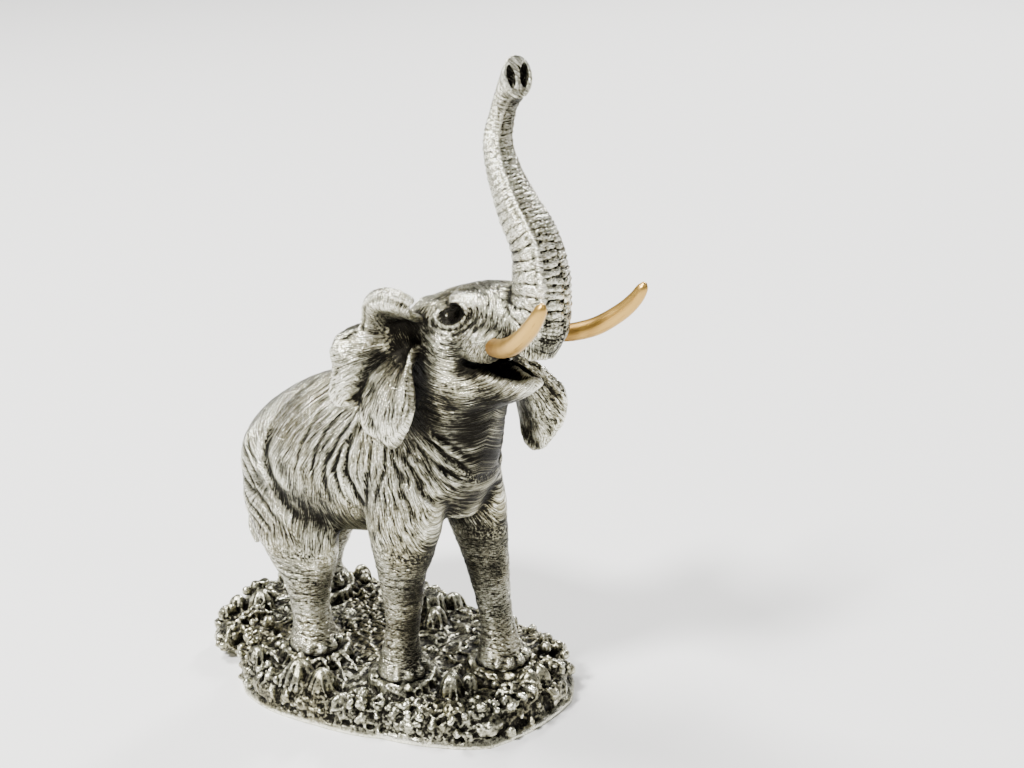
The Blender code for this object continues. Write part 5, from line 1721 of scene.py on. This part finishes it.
class STATUETTE_OT_stage(bpy.types.Operator):
    """Set the camera, the plain lights and the pale floor"""

    bl_idname = "statuette.stage"
    bl_label = "Set stage"

    def execute(self, context):
        scene, stage = context.scene, context.scene.stage_set
        data = bpy.data.cameras.new("camera")
        data.lens = stage.lens
        data.sensor_width = 36
        camera = bpy.data.objects.new("camera", data)
        scene.collection.objects.link(camera)
        camera.location = stage.camera_place
        camera.rotation_euler = (math.pi / 2 - stage.camera_rise, 0, stage.camera_turn)
        scene.camera = camera
        for name, light in LIGHTS.items():
            self.softbox(name, *light)
        world = bpy.data.worlds.new("room")
        scene.world = world
        world.use_nodes = True
        background = world.node_tree.nodes["Background"]
        background.inputs["Color"].default_value = (1, 1, 1, 1)
        background.inputs["Strength"].default_value = stage.room
        bm = bmesh.new()
        bmesh.ops.create_grid(bm, x_segments=1, y_segments=1, size=FLOOR_REACH)
        floor = bpy.data.objects.new("floor", as_mesh("floor", bm))
        floor.data.materials.append(pale_floor())
        scene.collection.objects.link(floor)
        return {"FINISHED"}

    def softbox(self, name, azimuth, elevation, edge, power):
        """A square light that faces the middle of the statuette."""
        turn, rise = math.radians(azimuth), math.radians(elevation)
        back = Vector((math.sin(turn) * math.cos(rise), -math.cos(turn) * math.cos(rise), math.sin(rise)))
        data = bpy.data.lights.new(name, "AREA")
        data.size = edge
        data.energy = power
        light = bpy.data.objects.new(name, data)
        light.location = Vector(LIT_MIDDLE) + back * LIGHT_DISTANCE
        light.rotation_euler = (-back).to_track_quat("-Z", "Y").to_euler()
        bpy.context.scene.collection.objects.link(light)


class STATUETTE_PT_panel(bpy.types.Panel):
    """Lists the steps that make the statuette"""

    bl_label = "Elephant statuette"
    bl_idname = "STATUETTE_PT_panel"
    bl_space_type = "VIEW_3D"
    bl_region_type = "UI"
    bl_category = "Statuette"

    def draw(self, context):
        column = self.layout.column()
        for settings in (context.scene.casting, context.scene.finishes, context.scene.stage_set):
            for name in settings.__annotations__:
                column.prop(settings, name)
        for operator in OPERATORS:
            column.operator(operator.bl_idname)


SETTINGS = {"casting": CastingSettings, "finishes": FinishSettings, "stage_set": StageSettings}
OPERATORS = (STATUETTE_OT_stage, STATUETTE_OT_tusks, STATUETTE_OT_elephant, STATUETTE_OT_ground)


def register():
    for kind in (*SETTINGS.values(), *OPERATORS, STATUETTE_PT_panel):
        bpy.utils.register_class(kind)
    for name, kind in SETTINGS.items():
        setattr(bpy.types.Scene, name, bpy.props.PointerProperty(type=kind))


def unregister():
    for name in SETTINGS:
        delattr(bpy.types.Scene, name)
    for kind in (STATUETTE_PT_panel, *OPERATORS, *SETTINGS.values()):
        bpy.utils.unregister_class(kind)


def main():
    register()
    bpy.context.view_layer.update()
    bpy.ops.statuette.stage()
    bpy.ops.statuette.tusks()
    bpy.ops.statuette.elephant()
    bpy.ops.statuette.ground()


if __name__ == "__main__":
    main()
